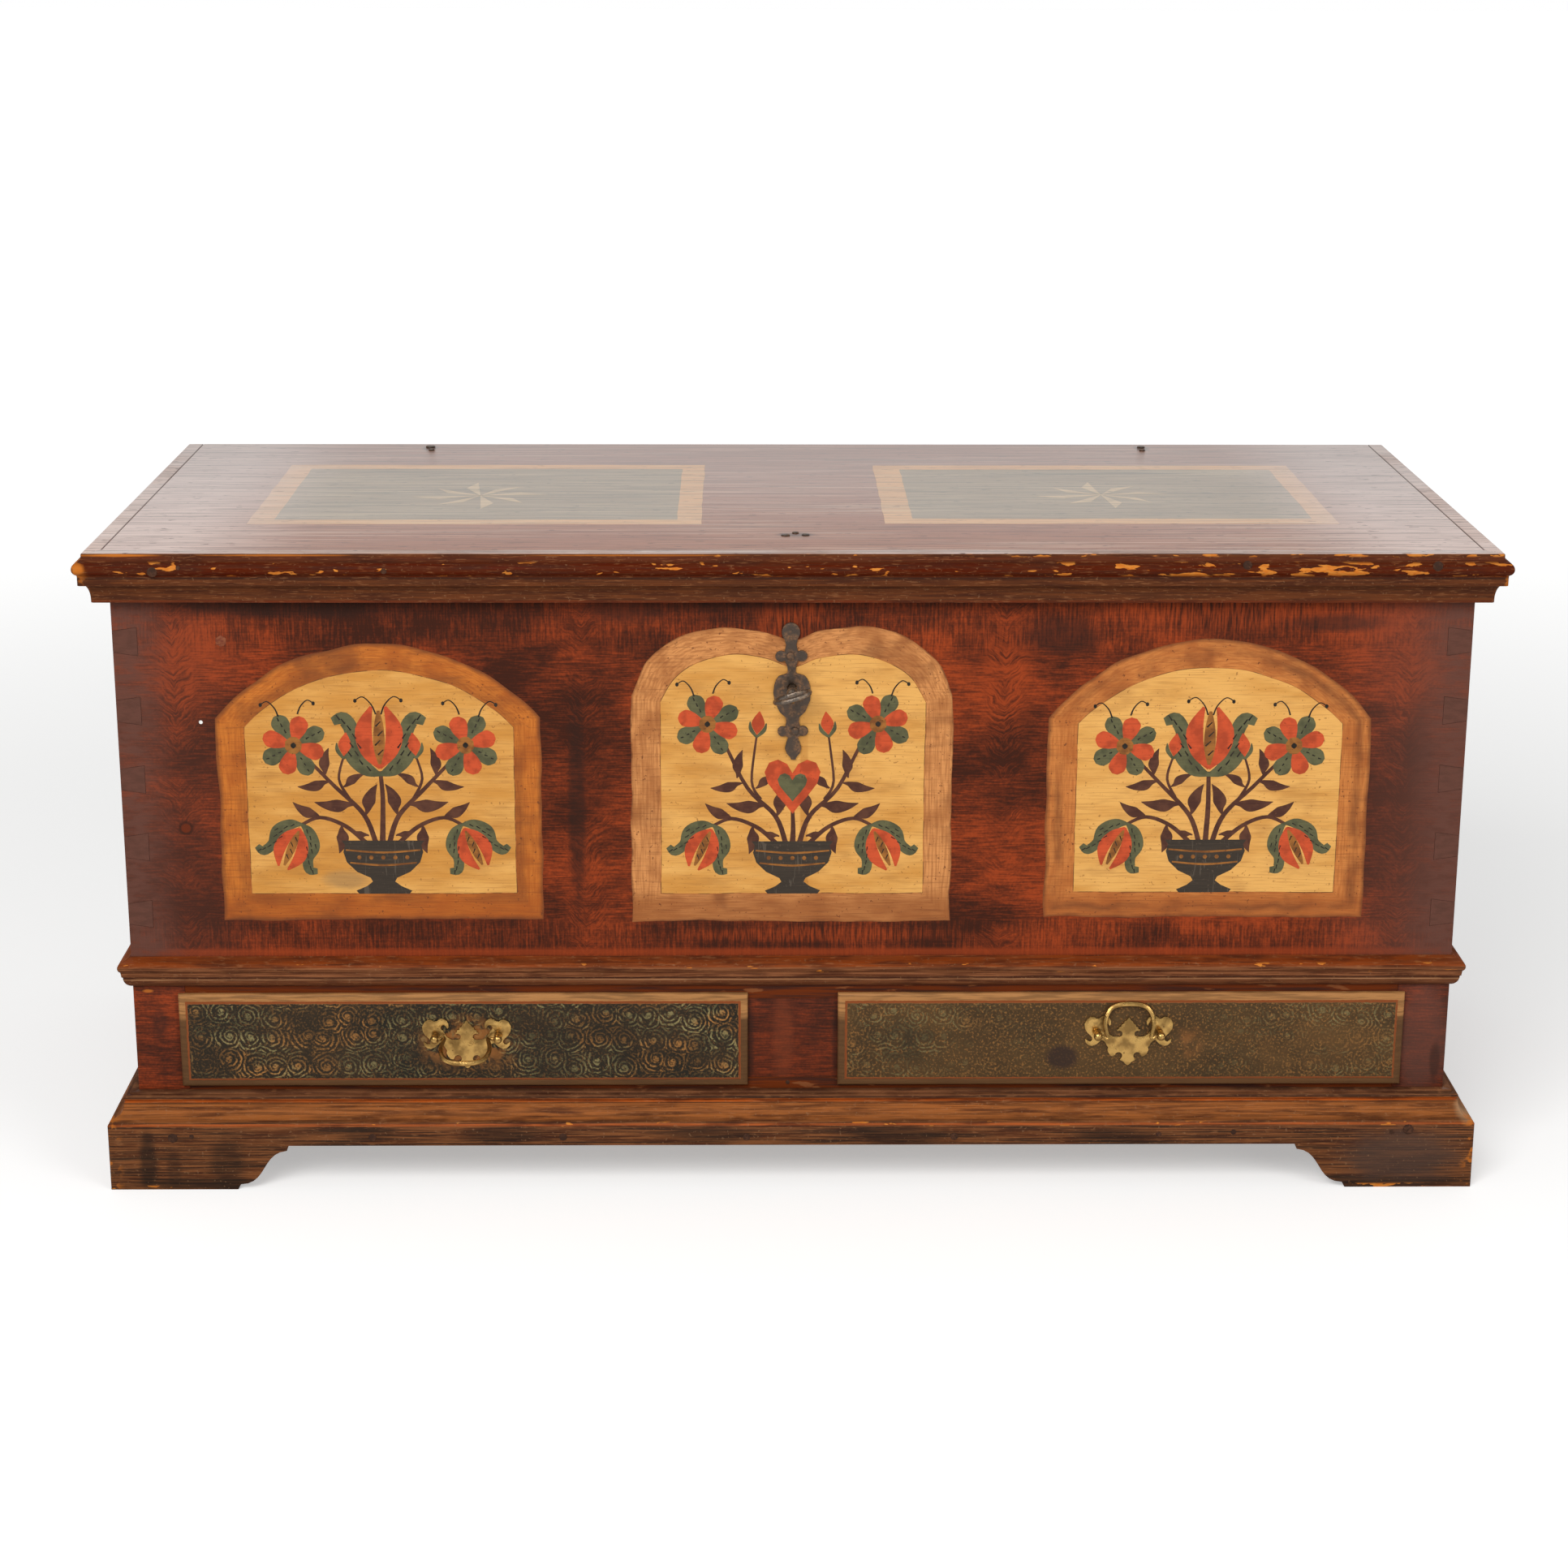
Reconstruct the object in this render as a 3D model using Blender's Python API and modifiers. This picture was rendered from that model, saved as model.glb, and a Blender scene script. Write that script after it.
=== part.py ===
"""Marriage chest: a dovetailed chest over two lipped drawers, on a moulded bracket base.

Lengths are metres and +Z is up.  The front faces -Y, and the origin is the bottom centre of the
closed chest.  A height is measured from the floor, and a depth back from the face of the case.
"""
import math

import bmesh
import bpy
from mathutils import Vector

# Fits
seat = 0.0003
running_gap = 0.001
overrun = 0.004
weld_distance = 0.00001

# Case boards
case_width = 1.330
case_depth = 0.578
case_bottom = 0.075
front_board_height = 0.420
front_board_thick = 0.022
back_board_thick = 0.022
side_board_thick = 0.024
front_tails = 6
back_tails = 8
tail_root_share = 0.586
tail_slope = 0.146

# Floors and the drawer bay
floor_thick = 0.020
floor_housing = 0.008
bay_floor_top = 0.110
bay_height = 0.086
stile_thick = 0.022
outer_stile_width = 0.052
centre_stile_width = 0.104
guide_height = 0.020

# Lid
lid_board_thick = 0.0222
lid_side_overhang = 0.004
lid_back_overhang = 0.003

# Lid moulding: how far its members stand out from the case, and their heights below the lid top
lid_cove_foot_out = 0.0152
lid_cove_head_out = 0.0215
lid_shelf_out = 0.0253
lid_torus_out = 0.0298
lid_strip_out = 0.0214
lid_torus_radius = 0.0071
lid_torus_drop = 0.0149
lid_torus_tuck = 68
lid_torus_top = 80
lid_fillet_drop = 0.0058
lid_arris_wear = 0.0012
lid_shelf_drop = 0.0317
lid_cove_foot_drop = 0.0474
lid_moulding_drop = 0.0502

# Middle moulding: members out from the case, and heights above its own bottom edge
mid_moulding_bottom = 0.2104
mid_ovolo_out = 0.0083
mid_ovolo_height = 0.0114
mid_step_out = 0.0095
mid_step_height = 0.0014
mid_torus_out = 0.0126
mid_torus_radius = 0.0060
mid_torus_height = 0.0216
mid_torus_tuck = 55
mid_top_height = 0.0314

# Bracket base
base_out = 0.0283
base_arris_height = 0.0695
base_arris_round = 0.0022
base_cove_foot_height = 0.0725
base_cove_head_out = 0.0135
base_cove_head_height = 0.0885
base_quirk = 0.0014
base_bead_radius = 0.0032
base_bead_out = 0.0137
base_fillet_out = 0.0080
base_top_height = 0.0985
front_foot_width = 0.129
back_foot_width = 0.120
toe_step_in = 0.003
toe_step_height = 0.0055
bracket_reach = 0.053
bracket_height = 0.042
bracket_low_pull = 0.030
bracket_high_pull = 0.025
bracket_slack = 0.002
apron_height = 0.0475
rear_foot_thick = 0.020
rear_foot_toe = 0.085
rear_foot_top = 0.120
glue_block_width = 0.036
glue_block_clear = 0.004

# Drawers
drawer_back_clear = 0.026
lip_lap = 0.0065
lip_proud = 0.008
lip_edge = 0.0035
lip_ovolo_width = 0.0085
lip_fillet = 0.0012
front_rebate_depth = 0.014
drawer_side_thick = 0.012
drawer_side_drop = 0.0045
drawer_tail_length = 0.012
drawer_back_thick = 0.010
drawer_back_drop = 0.003
drawer_tails = 2
drawer_bottom_thick = 0.008
drawer_bottom_lift = 0.008
drawer_groove = 0.004

# Bail pulls
pull_spacing = 0.0635
left_pull_offset = 0.003
left_pull_lift = 0.006
right_pull_offset = 0.0075
right_pull_lift = 0.008
plate_half_width = 0.0455
plate_thick = 0.0016
post_reach = 0.009
post_ball_radius = 0.0046
post_neck_radius = 0.0030
post_collar_radius = 0.0042
post_collar_height = 0.0016
post_shank_radius = 0.0026
post_nut_radius = 0.0052
post_nut_thick = 0.0032
bail_drop = 0.033
bail_wire_radius = 0.0027
bail_pin_radius = 0.0015
bail_pin_entry = 0.0022
left_bail_swing = 64

# Lid hinges
hinge_spacing = 0.810
strap_thick = 0.003
strap_width = 0.036
strap_end_width = 0.022
strap_length = 0.330
strap_finial_radius = 0.016
knuckle_radius = 0.006
knuckle_clear = 0.0015
knuckle_width = 0.013
hinge_pin_radius = 0.0028
hinge_pin_head_radius = 0.0042
hinge_pin_head = 0.002
leaf_width = 0.042
leaf_height = 0.090
leaf_drop = 0.006

# Lock, key and hasp
lock_offset = -0.002
keyhole_height = 0.5205
keyhole_radius = 0.0044
keyhole_slot_width = 0.005
keyhole_slot_drop = 0.016
lock_width = 0.090
lock_top_drop = 0.028
lock_below_key = 0.021
lock_depth = 0.022
lock_wall = 0.0025
hasp_plate_width = 0.040
hasp_plate_length = 0.058
hasp_plate_thick = 0.003
hasp_tongue_depth = 0.027
hasp_tongue_width = 0.012
hasp_tongue_thick = 0.005
hasp_tongue_drop = 0.055
hasp_eye_width = 0.006
hasp_eye_height = 0.014
hasp_eye_rim = 0.0045
bolt_thick = 0.004
bolt_nose_height = 0.008
bolt_nose_clear = 0.002
bolt_above_key = 0.006
bolt_arm_height = 0.019
bolt_arm_start = 0.0048
bolt_stem_start = 0.018
bolt_stem_width = 0.014
talon_start = 0.0085
talon_width = 0.0098
talon_height = 0.0095
key_shank_radius = 0.0040
key_bow_width = 0.040
key_bow_length = 0.026
key_bow_wire = 0.0025
key_bow_stand_off = 0.040
key_collar_radius = 0.0056
key_collar_length = 0.004
key_bit_reach = 0.014
key_bit_thick = 0.003
key_bit_width = 0.011
key_tip_clear = 0.0015
key_tilt = 17
escutcheon_height = 0.139
escutcheon_thick = 0.0025
escutcheon_keyhole_share = 0.471
escutcheon_tilt = 1.2

# Till
till_width = 0.125
till_board_thick = 0.010
till_floor_height = 0.340
till_lid_height = 0.495
till_housing = 0.006
till_lid_overhang = 0.004
till_end_gap = 0.001
till_side_gap = 0.003
pintle_radius = 0.004
pintle_length = 0.008
pintle_gap = 0.0004

# Places that follow from the sizes
half_width = case_width / 2
inner_half_width = half_width - side_board_thick
chest_floor_low = bay_floor_top + bay_height
chest_floor_top = chest_floor_low + floor_thick
bay_floor_low = bay_floor_top - floor_thick
front_board_low = chest_floor_top + seat
case_top = front_board_low + front_board_height
lid_low = case_top + seat
lid_top = lid_low + lid_board_thick
back_inner_depth = case_depth - back_board_thick
drawer_length = back_inner_depth - drawer_back_clear
lid_back_depth = case_depth + lid_back_overhang
hinge_axis_depth = lid_back_depth + knuckle_clear + knuckle_radius
hinge_axis_height = lid_low - seat - strap_thick / 2
bail_axis_proud = lip_proud + seat + plate_thick + post_reach
bail_reach = bail_axis_proud + bail_drop * math.sin(math.radians(left_bail_swing)) + bail_wire_radius
key_reach = key_bow_stand_off + key_bow_length / 2
face_y = (max(bail_reach, key_reach) - hinge_axis_depth - knuckle_radius) / 2
bay_width = (case_width - 2 * outer_stile_width - centre_stile_width) / 2
bay_centre = centre_stile_width / 2 + bay_width / 2

for thing in list(bpy.data.objects):
    bpy.data.objects.remove(thing, do_unlink=True)
parts = bpy.data.collections.new("marriage_chest")
tools = bpy.data.collections.new("cutters")
bpy.context.scene.collection.children.link(parts)
bpy.context.scene.collection.children.link(tools)

lying = (0, 0, 0)
facing_front = (math.pi / 2, 0, 0)
facing_side = (math.pi / 2, 0, math.pi / 2)


def finish(name, colour, roughness, metallic=0.0):
    """A Principled material of one colour."""
    made = bpy.data.materials.new(name)
    made.use_nodes = True
    shader = made.node_tree.nodes["Principled BSDF"]
    shader.inputs["Base Color"].default_value = (*colour, 1)
    shader.inputs["Roughness"].default_value = roughness
    shader.inputs["Metallic"].default_value = metallic
    return made


case_paint = finish("case_paint", (0.115, 0.030, 0.018), 0.5)
side_paint = finish("side_paint", (0.095, 0.030, 0.020), 0.55)
lid_paint = finish("lid_paint", (0.165, 0.095, 0.078), 0.4)
moulding_paint = finish("moulding_paint", (0.145, 0.052, 0.025), 0.5)
drawer_paint = finish("drawer_paint", (0.060, 0.055, 0.035), 0.55)
bare_wood = finish("bare_wood", (0.42, 0.27, 0.13), 0.7)
brass = finish("brass", (0.55, 0.38, 0.13), 0.35, 1.0)
iron = finish("iron", (0.085, 0.065, 0.052), 0.5, 0.8)


def arc(centre, radii, start, stop, steps):
    """Points on a circle, or on an ellipse with two radii, between two angles in degrees."""
    across, up = radii if isinstance(radii, tuple) else (radii, radii)
    points = []
    for step in range(steps + 1):
        angle = math.radians(start + (stop - start) * step / steps)
        points.append((centre[0] + across * math.cos(angle), centre[1] + up * math.sin(angle)))
    return points


def s_curve(start, start_pull, end_pull, end, steps):
    """Points on a cubic curve between two points, drawn by its two pulls."""
    points = []
    for step in range(steps + 1):
        share = step / steps
        rest = 1 - share
        weights = (rest ** 3, 3 * rest ** 2 * share, 3 * rest * share ** 2, share ** 3)
        corners = (start, start_pull, end_pull, end)
        points.append(tuple(sum(w * c[i] for w, c in zip(weights, corners)) for i in (0, 1)))
    return points


def smooth_path(knots, steps):
    """A smooth path that passes through every knot; a knot may have any number of values."""
    path = []
    last = len(knots) - 1
    for index in range(last):
        before, near, far, after = (knots[min(max(index + i, 0), last)] for i in (-1, 0, 1, 2))
        for step in range(steps):
            t = step / steps
            path.append(tuple(
                (2 * b + (c - a) * t + (2 * a - 5 * b + 4 * c - d) * t * t
                 + (3 * b - a - 3 * c + d) * t ** 3) / 2
                for a, b, c, d in zip(before, near, far, after)))
    return path + [tuple(knots[last])]


def mirrored(half):
    """Close an outline that runs down its right side with the same points on its left."""
    return half + [(-u, v) for u, v in reversed(half) if abs(u) > weld_distance]


def add_piece(name, mesh, paint, place, turn):
    """Put a mesh in the scene as a part, or as a hidden tool where it has no paint."""
    piece = bpy.data.objects.new(name, mesh)
    piece.location = place
    piece.rotation_euler = turn
    if paint:
        parts.objects.link(piece)
        mesh.materials.clear()
        mesh.materials.append(paint)
    else:
        tools.objects.link(piece)
        piece.hide_render = True
        piece.display_type = "WIRE"
    return piece


def mesh_of_curve(name, curve):
    """The welded mesh of a curve, with its faces pointing out."""
    holder = bpy.data.objects.new(name, curve)
    tools.objects.link(holder)
    bpy.context.view_layer.update()
    evaluated = holder.evaluated_get(bpy.context.evaluated_depsgraph_get())
    mesh = bpy.data.meshes.new_from_object(evaluated)
    bpy.data.objects.remove(holder, do_unlink=True)
    form = bmesh.new()
    form.from_mesh(mesh)
    bmesh.ops.remove_doubles(form, verts=form.verts, dist=weld_distance)
    bmesh.ops.recalc_face_normals(form, faces=form.faces)
    form.to_mesh(mesh)
    form.free()
    return mesh


def plate(name, outlines, thick, paint, place, turn):
    """A flat outline, with any holes after it, given a thickness about its own plane."""
    sheet = bpy.data.curves.new(name, "CURVE")
    sheet.dimensions = "2D"
    sheet.fill_mode = "BOTH"
    sheet.extrude = thick / 2
    for outline in outlines:
        spline = sheet.splines.new("POLY")
        spline.points.add(len(outline) - 1)
        spline.use_cyclic_u = True
        for point, (u, v) in zip(spline.points, outline):
            point.co = (u, v, 0, 1)
    return add_piece(name, mesh_of_curve(name, sheet), paint, place, turn)


def wire(name, path, radius, paint, place, turn, closed=False):
    """A round wire along points that give its across, along and up values and a radius share."""
    line = bpy.data.curves.new(name, "CURVE")
    line.dimensions = "3D"
    line.bevel_depth = radius
    line.bevel_resolution = 2
    line.use_fill_caps = not closed
    spline = line.splines.new("POLY")
    spline.points.add(len(path) - 1)
    spline.use_cyclic_u = closed
    for point, (x, y, z, share) in zip(spline.points, path):
        point.co = (x, y, z, 1)
        point.radius = share
    piece = add_piece(name, mesh_of_curve(name, line), paint, place, turn)
    piece.data.shade_smooth()
    return piece


def block(name, low, high, paint=None):
    """A rectangular solid between two corners, with its origin at its middle."""
    low, high = Vector(low), Vector(high)
    mesh = bpy.data.meshes.new(name)
    form = bmesh.new()
    bmesh.ops.create_cube(form, size=1)
    bmesh.ops.scale(form, vec=high - low, verts=form.verts)
    form.to_mesh(mesh)
    form.free()
    return add_piece(name, mesh, paint, (low + high) / 2, lying)


def rod(name, middle, radius, length, turn, paint=None, sides=20):
    """A round rod about its middle; it lies along Z before its turn."""
    mesh = bpy.data.meshes.new(name)
    form = bmesh.new()
    bmesh.ops.create_cone(
        form, cap_ends=True, segments=sides, radius1=radius, radius2=radius, depth=length)
    form.to_mesh(mesh)
    form.free()
    mesh.shade_smooth()
    mesh.set_sharp_from_angle(angle=math.radians(40))
    return add_piece(name, mesh, paint, middle, turn)


def turned(name, profile, paint, place, turn, sides=16):
    """A turned solid; its profile runs down the outer side, from the axis to the axis."""
    mesh = bpy.data.meshes.new(name)
    edges = [(i, i + 1) for i in range(len(profile) - 1)]
    mesh.from_pydata([(radius, 0, height) for radius, height in profile], edges, [])
    piece = add_piece(name, mesh, paint, place, turn)
    lathe = piece.modifiers.new("lathe", "SCREW")
    lathe.steps = sides
    lathe.render_steps = sides
    lathe.use_merge_vertices = True
    lathe.merge_threshold = weld_distance
    lathe.use_smooth_shade = True
    return piece


def cut(piece, *cutters):
    """Take each cutter's shape out of a piece."""
    for cutter in cutters:
        step = piece.modifiers.new("cut_" + cutter.name, "BOOLEAN")
        step.operation = "DIFFERENCE"
        step.object = cutter


def join(piece, *others):
    """Make each other shape one body with a piece."""
    for other in others:
        step = piece.modifiers.new("join_" + other.name, "BOOLEAN")
        step.operation = "UNION"
        step.object = other


# Dovetails

def tailed_outline(ends, low, high, tails, lengths, grow=0.0, past=(0.0, 0.0)):
    """A board's outline with tails on both ends, given as pairs from its low and high end.

    A cutter for the mating board grows each tail's sides, and runs past its tip.
    """
    start, end = ends
    pitch = (high - low) / tails
    root_half = pitch * tail_root_share / 2 + grow
    outline = []
    for tip, shoulder, way in ((end + past[1], end - lengths[1] - seat, 1),
                               (start - past[0], start + lengths[0] + seat, -1)):
        tip_half = root_half + tail_slope * abs(tip - shoulder)
        side = [(shoulder, low)]
        for tail in range(tails):
            middle = low + pitch * (tail + 0.5)
            side += [(shoulder, middle - root_half), (tip, middle - tip_half),
                     (tip, middle + tip_half), (shoulder, middle + root_half)]
        side.append((shoulder, high))
        outline += side[::way]
    return outline


def case_tails(low, tails, grow=0.0, past=0.0):
    """The outline of the case's front or back board."""
    return tailed_outline((-half_width, half_width), low, case_top, tails,
                          (side_board_thick, side_board_thick), grow, (past, past))


# Keyhole, shared by the front board and the escutcheon

def keyhole(x, height):
    """A round hole with a slot below it for the key's bit."""
    slot_half = keyhole_slot_width / 2
    meet = math.degrees(math.asin(slot_half / keyhole_radius))
    hole = arc((x, height), keyhole_radius, -90 + meet, 270 - meet, 14)
    slot_low = height - keyhole_slot_drop
    return hole + [(x - slot_half, slot_low), (x + slot_half, slot_low)]


# Case boards

front_board = plate(
    "front_board",
    [case_tails(front_board_low, front_tails), keyhole(lock_offset, keyhole_height)],
    front_board_thick, case_paint, (0, face_y + front_board_thick / 2, 0), facing_front)

back_board = plate(
    "back_board", [case_tails(case_bottom, back_tails)],
    back_board_thick, side_paint, (0, face_y + case_depth - back_board_thick / 2, 0), facing_front)

front_tail_cutter = plate(
    "front_tail_cutter", [case_tails(front_board_low, front_tails, seat, overrun)],
    front_board_thick + seat + overrun, None,
    (0, face_y + (front_board_thick + seat - overrun) / 2, 0), facing_front)

back_tail_cutter = plate(
    "back_tail_cutter", [case_tails(case_bottom, back_tails, seat, overrun)],
    back_board_thick + seat + overrun, None,
    (0, face_y + case_depth + (overrun - back_board_thick - seat) / 2, 0), facing_front)

stile_recess = block(
    "stile_recess",
    (-half_width - overrun, face_y - overrun, case_bottom - overrun),
    (half_width + overrun, face_y + stile_thick + seat, front_board_low + seat))

side_boards = {}
for side, way in (("left", -1), ("right", 1)):
    inner, outer = sorted((way * inner_half_width, way * half_width), key=abs)
    board = block(
        side + "_side_board",
        (min(inner, outer), face_y, case_bottom),
        (max(inner, outer), face_y + case_depth, case_top), side_paint)
    cut(board, front_tail_cutter, back_tail_cutter, stile_recess)
    side_boards[side] = board

# Floors, housed in the side boards and notched round the outer stiles


def floor_outline(grow=0.0):
    """A floor board seen from above, its front corners notched for the stiles.

    Its housing grows all round, and twice as far at the back, past the face of the back's tails.
    """
    end = inner_half_width + floor_housing - seat + grow
    notch = half_width - outer_stile_width - seat
    front = face_y
    notch_back = face_y + stile_thick + seat - grow
    back = face_y + back_inner_depth - seat + 2 * grow
    return [(-notch, front), (notch, front), (notch, notch_back), (end, notch_back),
            (end, back), (-end, back), (-end, notch_back), (-notch, notch_back)]


for name, low in (("chest_floor", chest_floor_low), ("bay_floor", bay_floor_low)):
    middle = (0, 0, low + floor_thick / 2)
    plate(name, [floor_outline()], floor_thick, bare_wood, middle, lying)
    housing = plate(
        name + "_housing", [floor_outline(seat)], floor_thick + 2 * seat, None, middle, lying)
    for board in side_boards.values():
        cut(board, housing)

# Stiles and drawer guides

for side, way in (("left", -1), ("right", 1)):
    near, far = sorted((way * half_width, way * (half_width - outer_stile_width)))
    block(side + "_stile", (near, face_y, case_bottom),
          (far, face_y + stile_thick, front_board_low - seat), case_paint)
    guide_near, guide_far = sorted((
        way * (inner_half_width - seat), way * (half_width - outer_stile_width - seat)))
    block(side + "_drawer_guide",
          (guide_near, face_y + stile_thick + seat, bay_floor_top + seat),
          (guide_far, face_y + back_inner_depth - seat, bay_floor_top + guide_height), bare_wood)

centre_half = centre_stile_width / 2
block("centre_stile", (-centre_half, face_y, bay_floor_top + seat),
      (centre_half, face_y + stile_thick, chest_floor_low - seat), case_paint)
block("centre_drawer_guide",
      (-centre_half, face_y + stile_thick + seat, bay_floor_top + seat),
      (centre_half, face_y + back_inner_depth - seat, bay_floor_top + guide_height), bare_wood)


# Mouldings, mitred round the front corners

def moulding(name, profile, side, length, paint):
    """Run a profile of distances out from the case and heights along one side of the chest.

    The front run is mitred at both ends.  A side run starts at the front mitre, and is cut
    square at its back end.
    """
    x, turn, square_way = {
        "front": (0, -math.pi / 2, 0),
        "left": (-half_width, math.pi, 1),
        "right": (half_width, 0, -1)}[side]
    y = face_y if side == "front" else face_y + length / 2
    piece = plate(name, [profile], length, paint, (x, y, 0), (math.pi / 2, 0, turn))
    for vertex in piece.data.vertices:
        way = 1 if vertex.co.z > 0 else -1
        if way != square_way:
            vertex.co.z += way * (vertex.co.x - seat)
    return piece


def lid_profile():
    """Fillet, cove, shelf, torus and top strip, standing on the lid board's edge."""
    torus = (lid_torus_out - lid_torus_radius, lid_top - lid_torus_drop)
    inner = lid_side_overhang + seat
    cove_centre = (lid_cove_head_out, lid_top - lid_cove_foot_drop)
    cove = (lid_cove_head_out - lid_cove_foot_out, lid_cove_foot_drop - lid_shelf_drop)
    return [
        (inner, lid_top - lid_moulding_drop),
        (lid_cove_foot_out, lid_top - lid_moulding_drop),
        *arc(cove_centre, cove, 180, 90, 7),
        (lid_shelf_out, lid_top - lid_shelf_drop),
        *arc(torus, lid_torus_radius, -lid_torus_tuck, lid_torus_top, 10),
        (lid_strip_out, lid_top - lid_fillet_drop),
        (lid_strip_out, lid_top - lid_arris_wear),
        (lid_strip_out - lid_arris_wear, lid_top),
        (inner, lid_top)]


def mid_profile():
    """Ovolo, step and torus, with a top that slopes up to the case."""
    bottom = mid_moulding_bottom
    torus = (mid_torus_out - mid_torus_radius, bottom + mid_torus_height)
    ovolo = (mid_ovolo_out - seat, mid_ovolo_height)
    return [
        *arc((seat, bottom + mid_ovolo_height), ovolo, -90, 0, 6),
        (mid_step_out, bottom + mid_ovolo_height),
        (mid_step_out, bottom + mid_ovolo_height + mid_step_height),
        *arc(torus, mid_torus_radius, -mid_torus_tuck, 90, 9),
        (seat, bottom + mid_top_height)]


def base_profile():
    """A flat bracket board with a cove, a bead and a fillet worked on its top edge."""
    cove = (base_out - base_arris_round - base_cove_head_out,
            base_cove_head_height - base_cove_foot_height)
    bead = (base_bead_out - base_bead_radius, base_cove_head_height + base_quirk + base_bead_radius)
    return [
        (seat, 0), (base_out, 0), (base_out, base_arris_height),
        *arc((base_out - base_arris_round, base_cove_head_height), cove, -90, -180, 7),
        (base_cove_head_out - base_quirk, base_cove_head_height + base_quirk),
        *arc(bead, base_bead_radius, -60, 90, 7),
        (base_fillet_out, bead[1] + base_bead_radius),
        (base_fillet_out, base_top_height),
        (seat, base_top_height)]


for side in ("front", "left", "right"):
    lid_run = case_width if side == "front" else lid_back_depth
    case_run = case_width if side == "front" else case_depth
    moulding("lid_moulding_" + side, lid_profile(), side, lid_run, moulding_paint)
    moulding("mid_moulding_" + side, mid_profile(), side, case_run, moulding_paint)


# Bracket base

def bracket_gap(low_toe, high_toe):
    """The open space between two feet, with a bracket at each end of it."""
    half = (high_toe - low_toe) / 2
    middle = (low_toe + high_toe) / 2
    reach_end = half - bracket_reach
    toe_end = half - toe_step_in
    rise = s_curve((toe_end, toe_step_height), (half - bracket_low_pull, toe_step_height),
                   (half - bracket_high_pull, bracket_height - bracket_slack),
                   (reach_end + bracket_slack, bracket_height), 10)
    right = [(half, -overrun), (half, 0), *rise, (reach_end, apron_height)]
    return [(middle + u, v) for u, v in right] + [(middle - u, v) for u, v in reversed(right)]


base_front = moulding("base_front", base_profile(), "front", case_width, moulding_paint)
front_toe = half_width + base_out - front_foot_width
cut(base_front, plate(
    "front_apron_cutter", [bracket_gap(-front_toe, front_toe)], 2 * (base_out + overrun), None,
    (0, face_y, 0), facing_front))
for side, way in (("left", -1), ("right", 1)):
    base_side = moulding("base_" + side, base_profile(), side, case_depth, moulding_paint)
    cut(base_side, plate(
        side + "_apron_cutter",
        [bracket_gap(face_y - base_out + front_foot_width, face_y + case_depth - back_foot_width)],
        2 * (base_out + overrun), None, (way * half_width, 0, 0), facing_side))

for side, way in (("left", -1), ("right", 1)):
    rear_outline = [(0, 0), (rear_foot_toe, 0), (rear_foot_top, case_bottom - seat),
                    (0, case_bottom - seat)]
    plate("rear_foot_" + side, [[(way * (half_width - u), v) for u, v in rear_outline]],
          rear_foot_thick, bare_wood,
          (0, face_y + case_depth - rear_foot_thick / 2, 0), facing_front)
    near, far = sorted((way * half_width, way * (half_width - glue_block_width)))
    for place, front in (
            ("front", face_y),
            ("back", face_y + case_depth - rear_foot_thick - seat - glue_block_width)):
        block("_".join((place, side, "glue_block")), (near, front, glue_block_clear),
              (far, front + glue_block_width, case_bottom - seat), bare_wood)

# Lid board

lid_half = half_width + lid_side_overhang
block("lid_board", (-lid_half, face_y - lid_side_overhang, lid_low),
      (lid_half, face_y + lid_back_depth, lid_top), lid_paint)

# Strap hinges: a strap under the lid, a leaf on the back board, and the pin through both

hinge_y = face_y + hinge_axis_depth
strap_notch_half = strap_width / 2 + running_gap


def strap_outline():
    """A tapered strap from the back of the case forward, ending in a round finial."""
    neck = strap_length - 2 * strap_finial_radius
    meet = math.degrees(math.asin(strap_end_width / 2 / strap_finial_radius))
    reach = strap_finial_radius * math.cos(math.radians(meet))
    centre = (0, -neck - reach)
    finial = arc(centre, strap_finial_radius, 90 - meet, meet - 270, 18)
    return [(strap_width / 2, 0), *finial, (-strap_width / 2, 0)]


def eye_outlines(arm):
    """An eye about the hinge pin, with the arm that it is rolled from."""
    ring = arc((0, 0), knuckle_radius, 0, 360, 20)[:-1]
    hole = arc((0, 0), hinge_pin_radius + seat, 0, 360, 16)[:-1]
    return ring, hole, arm


def add_eye(piece, name, x, width, arm):
    """Join an eye to a hinge half: its ring and arm first, then the bore for the pin."""
    ring, hole, arm_outline = eye_outlines(arm)
    place = (x, hinge_y, hinge_axis_height)
    join(piece,
         plate(name + "_arm", [arm_outline], width, None, place, facing_side),
         plate(name + "_ring", [ring], width, None, place, facing_side))
    cut(piece, plate(name + "_bore", [hole], width + 2 * overrun, None, place, facing_side))


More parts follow.
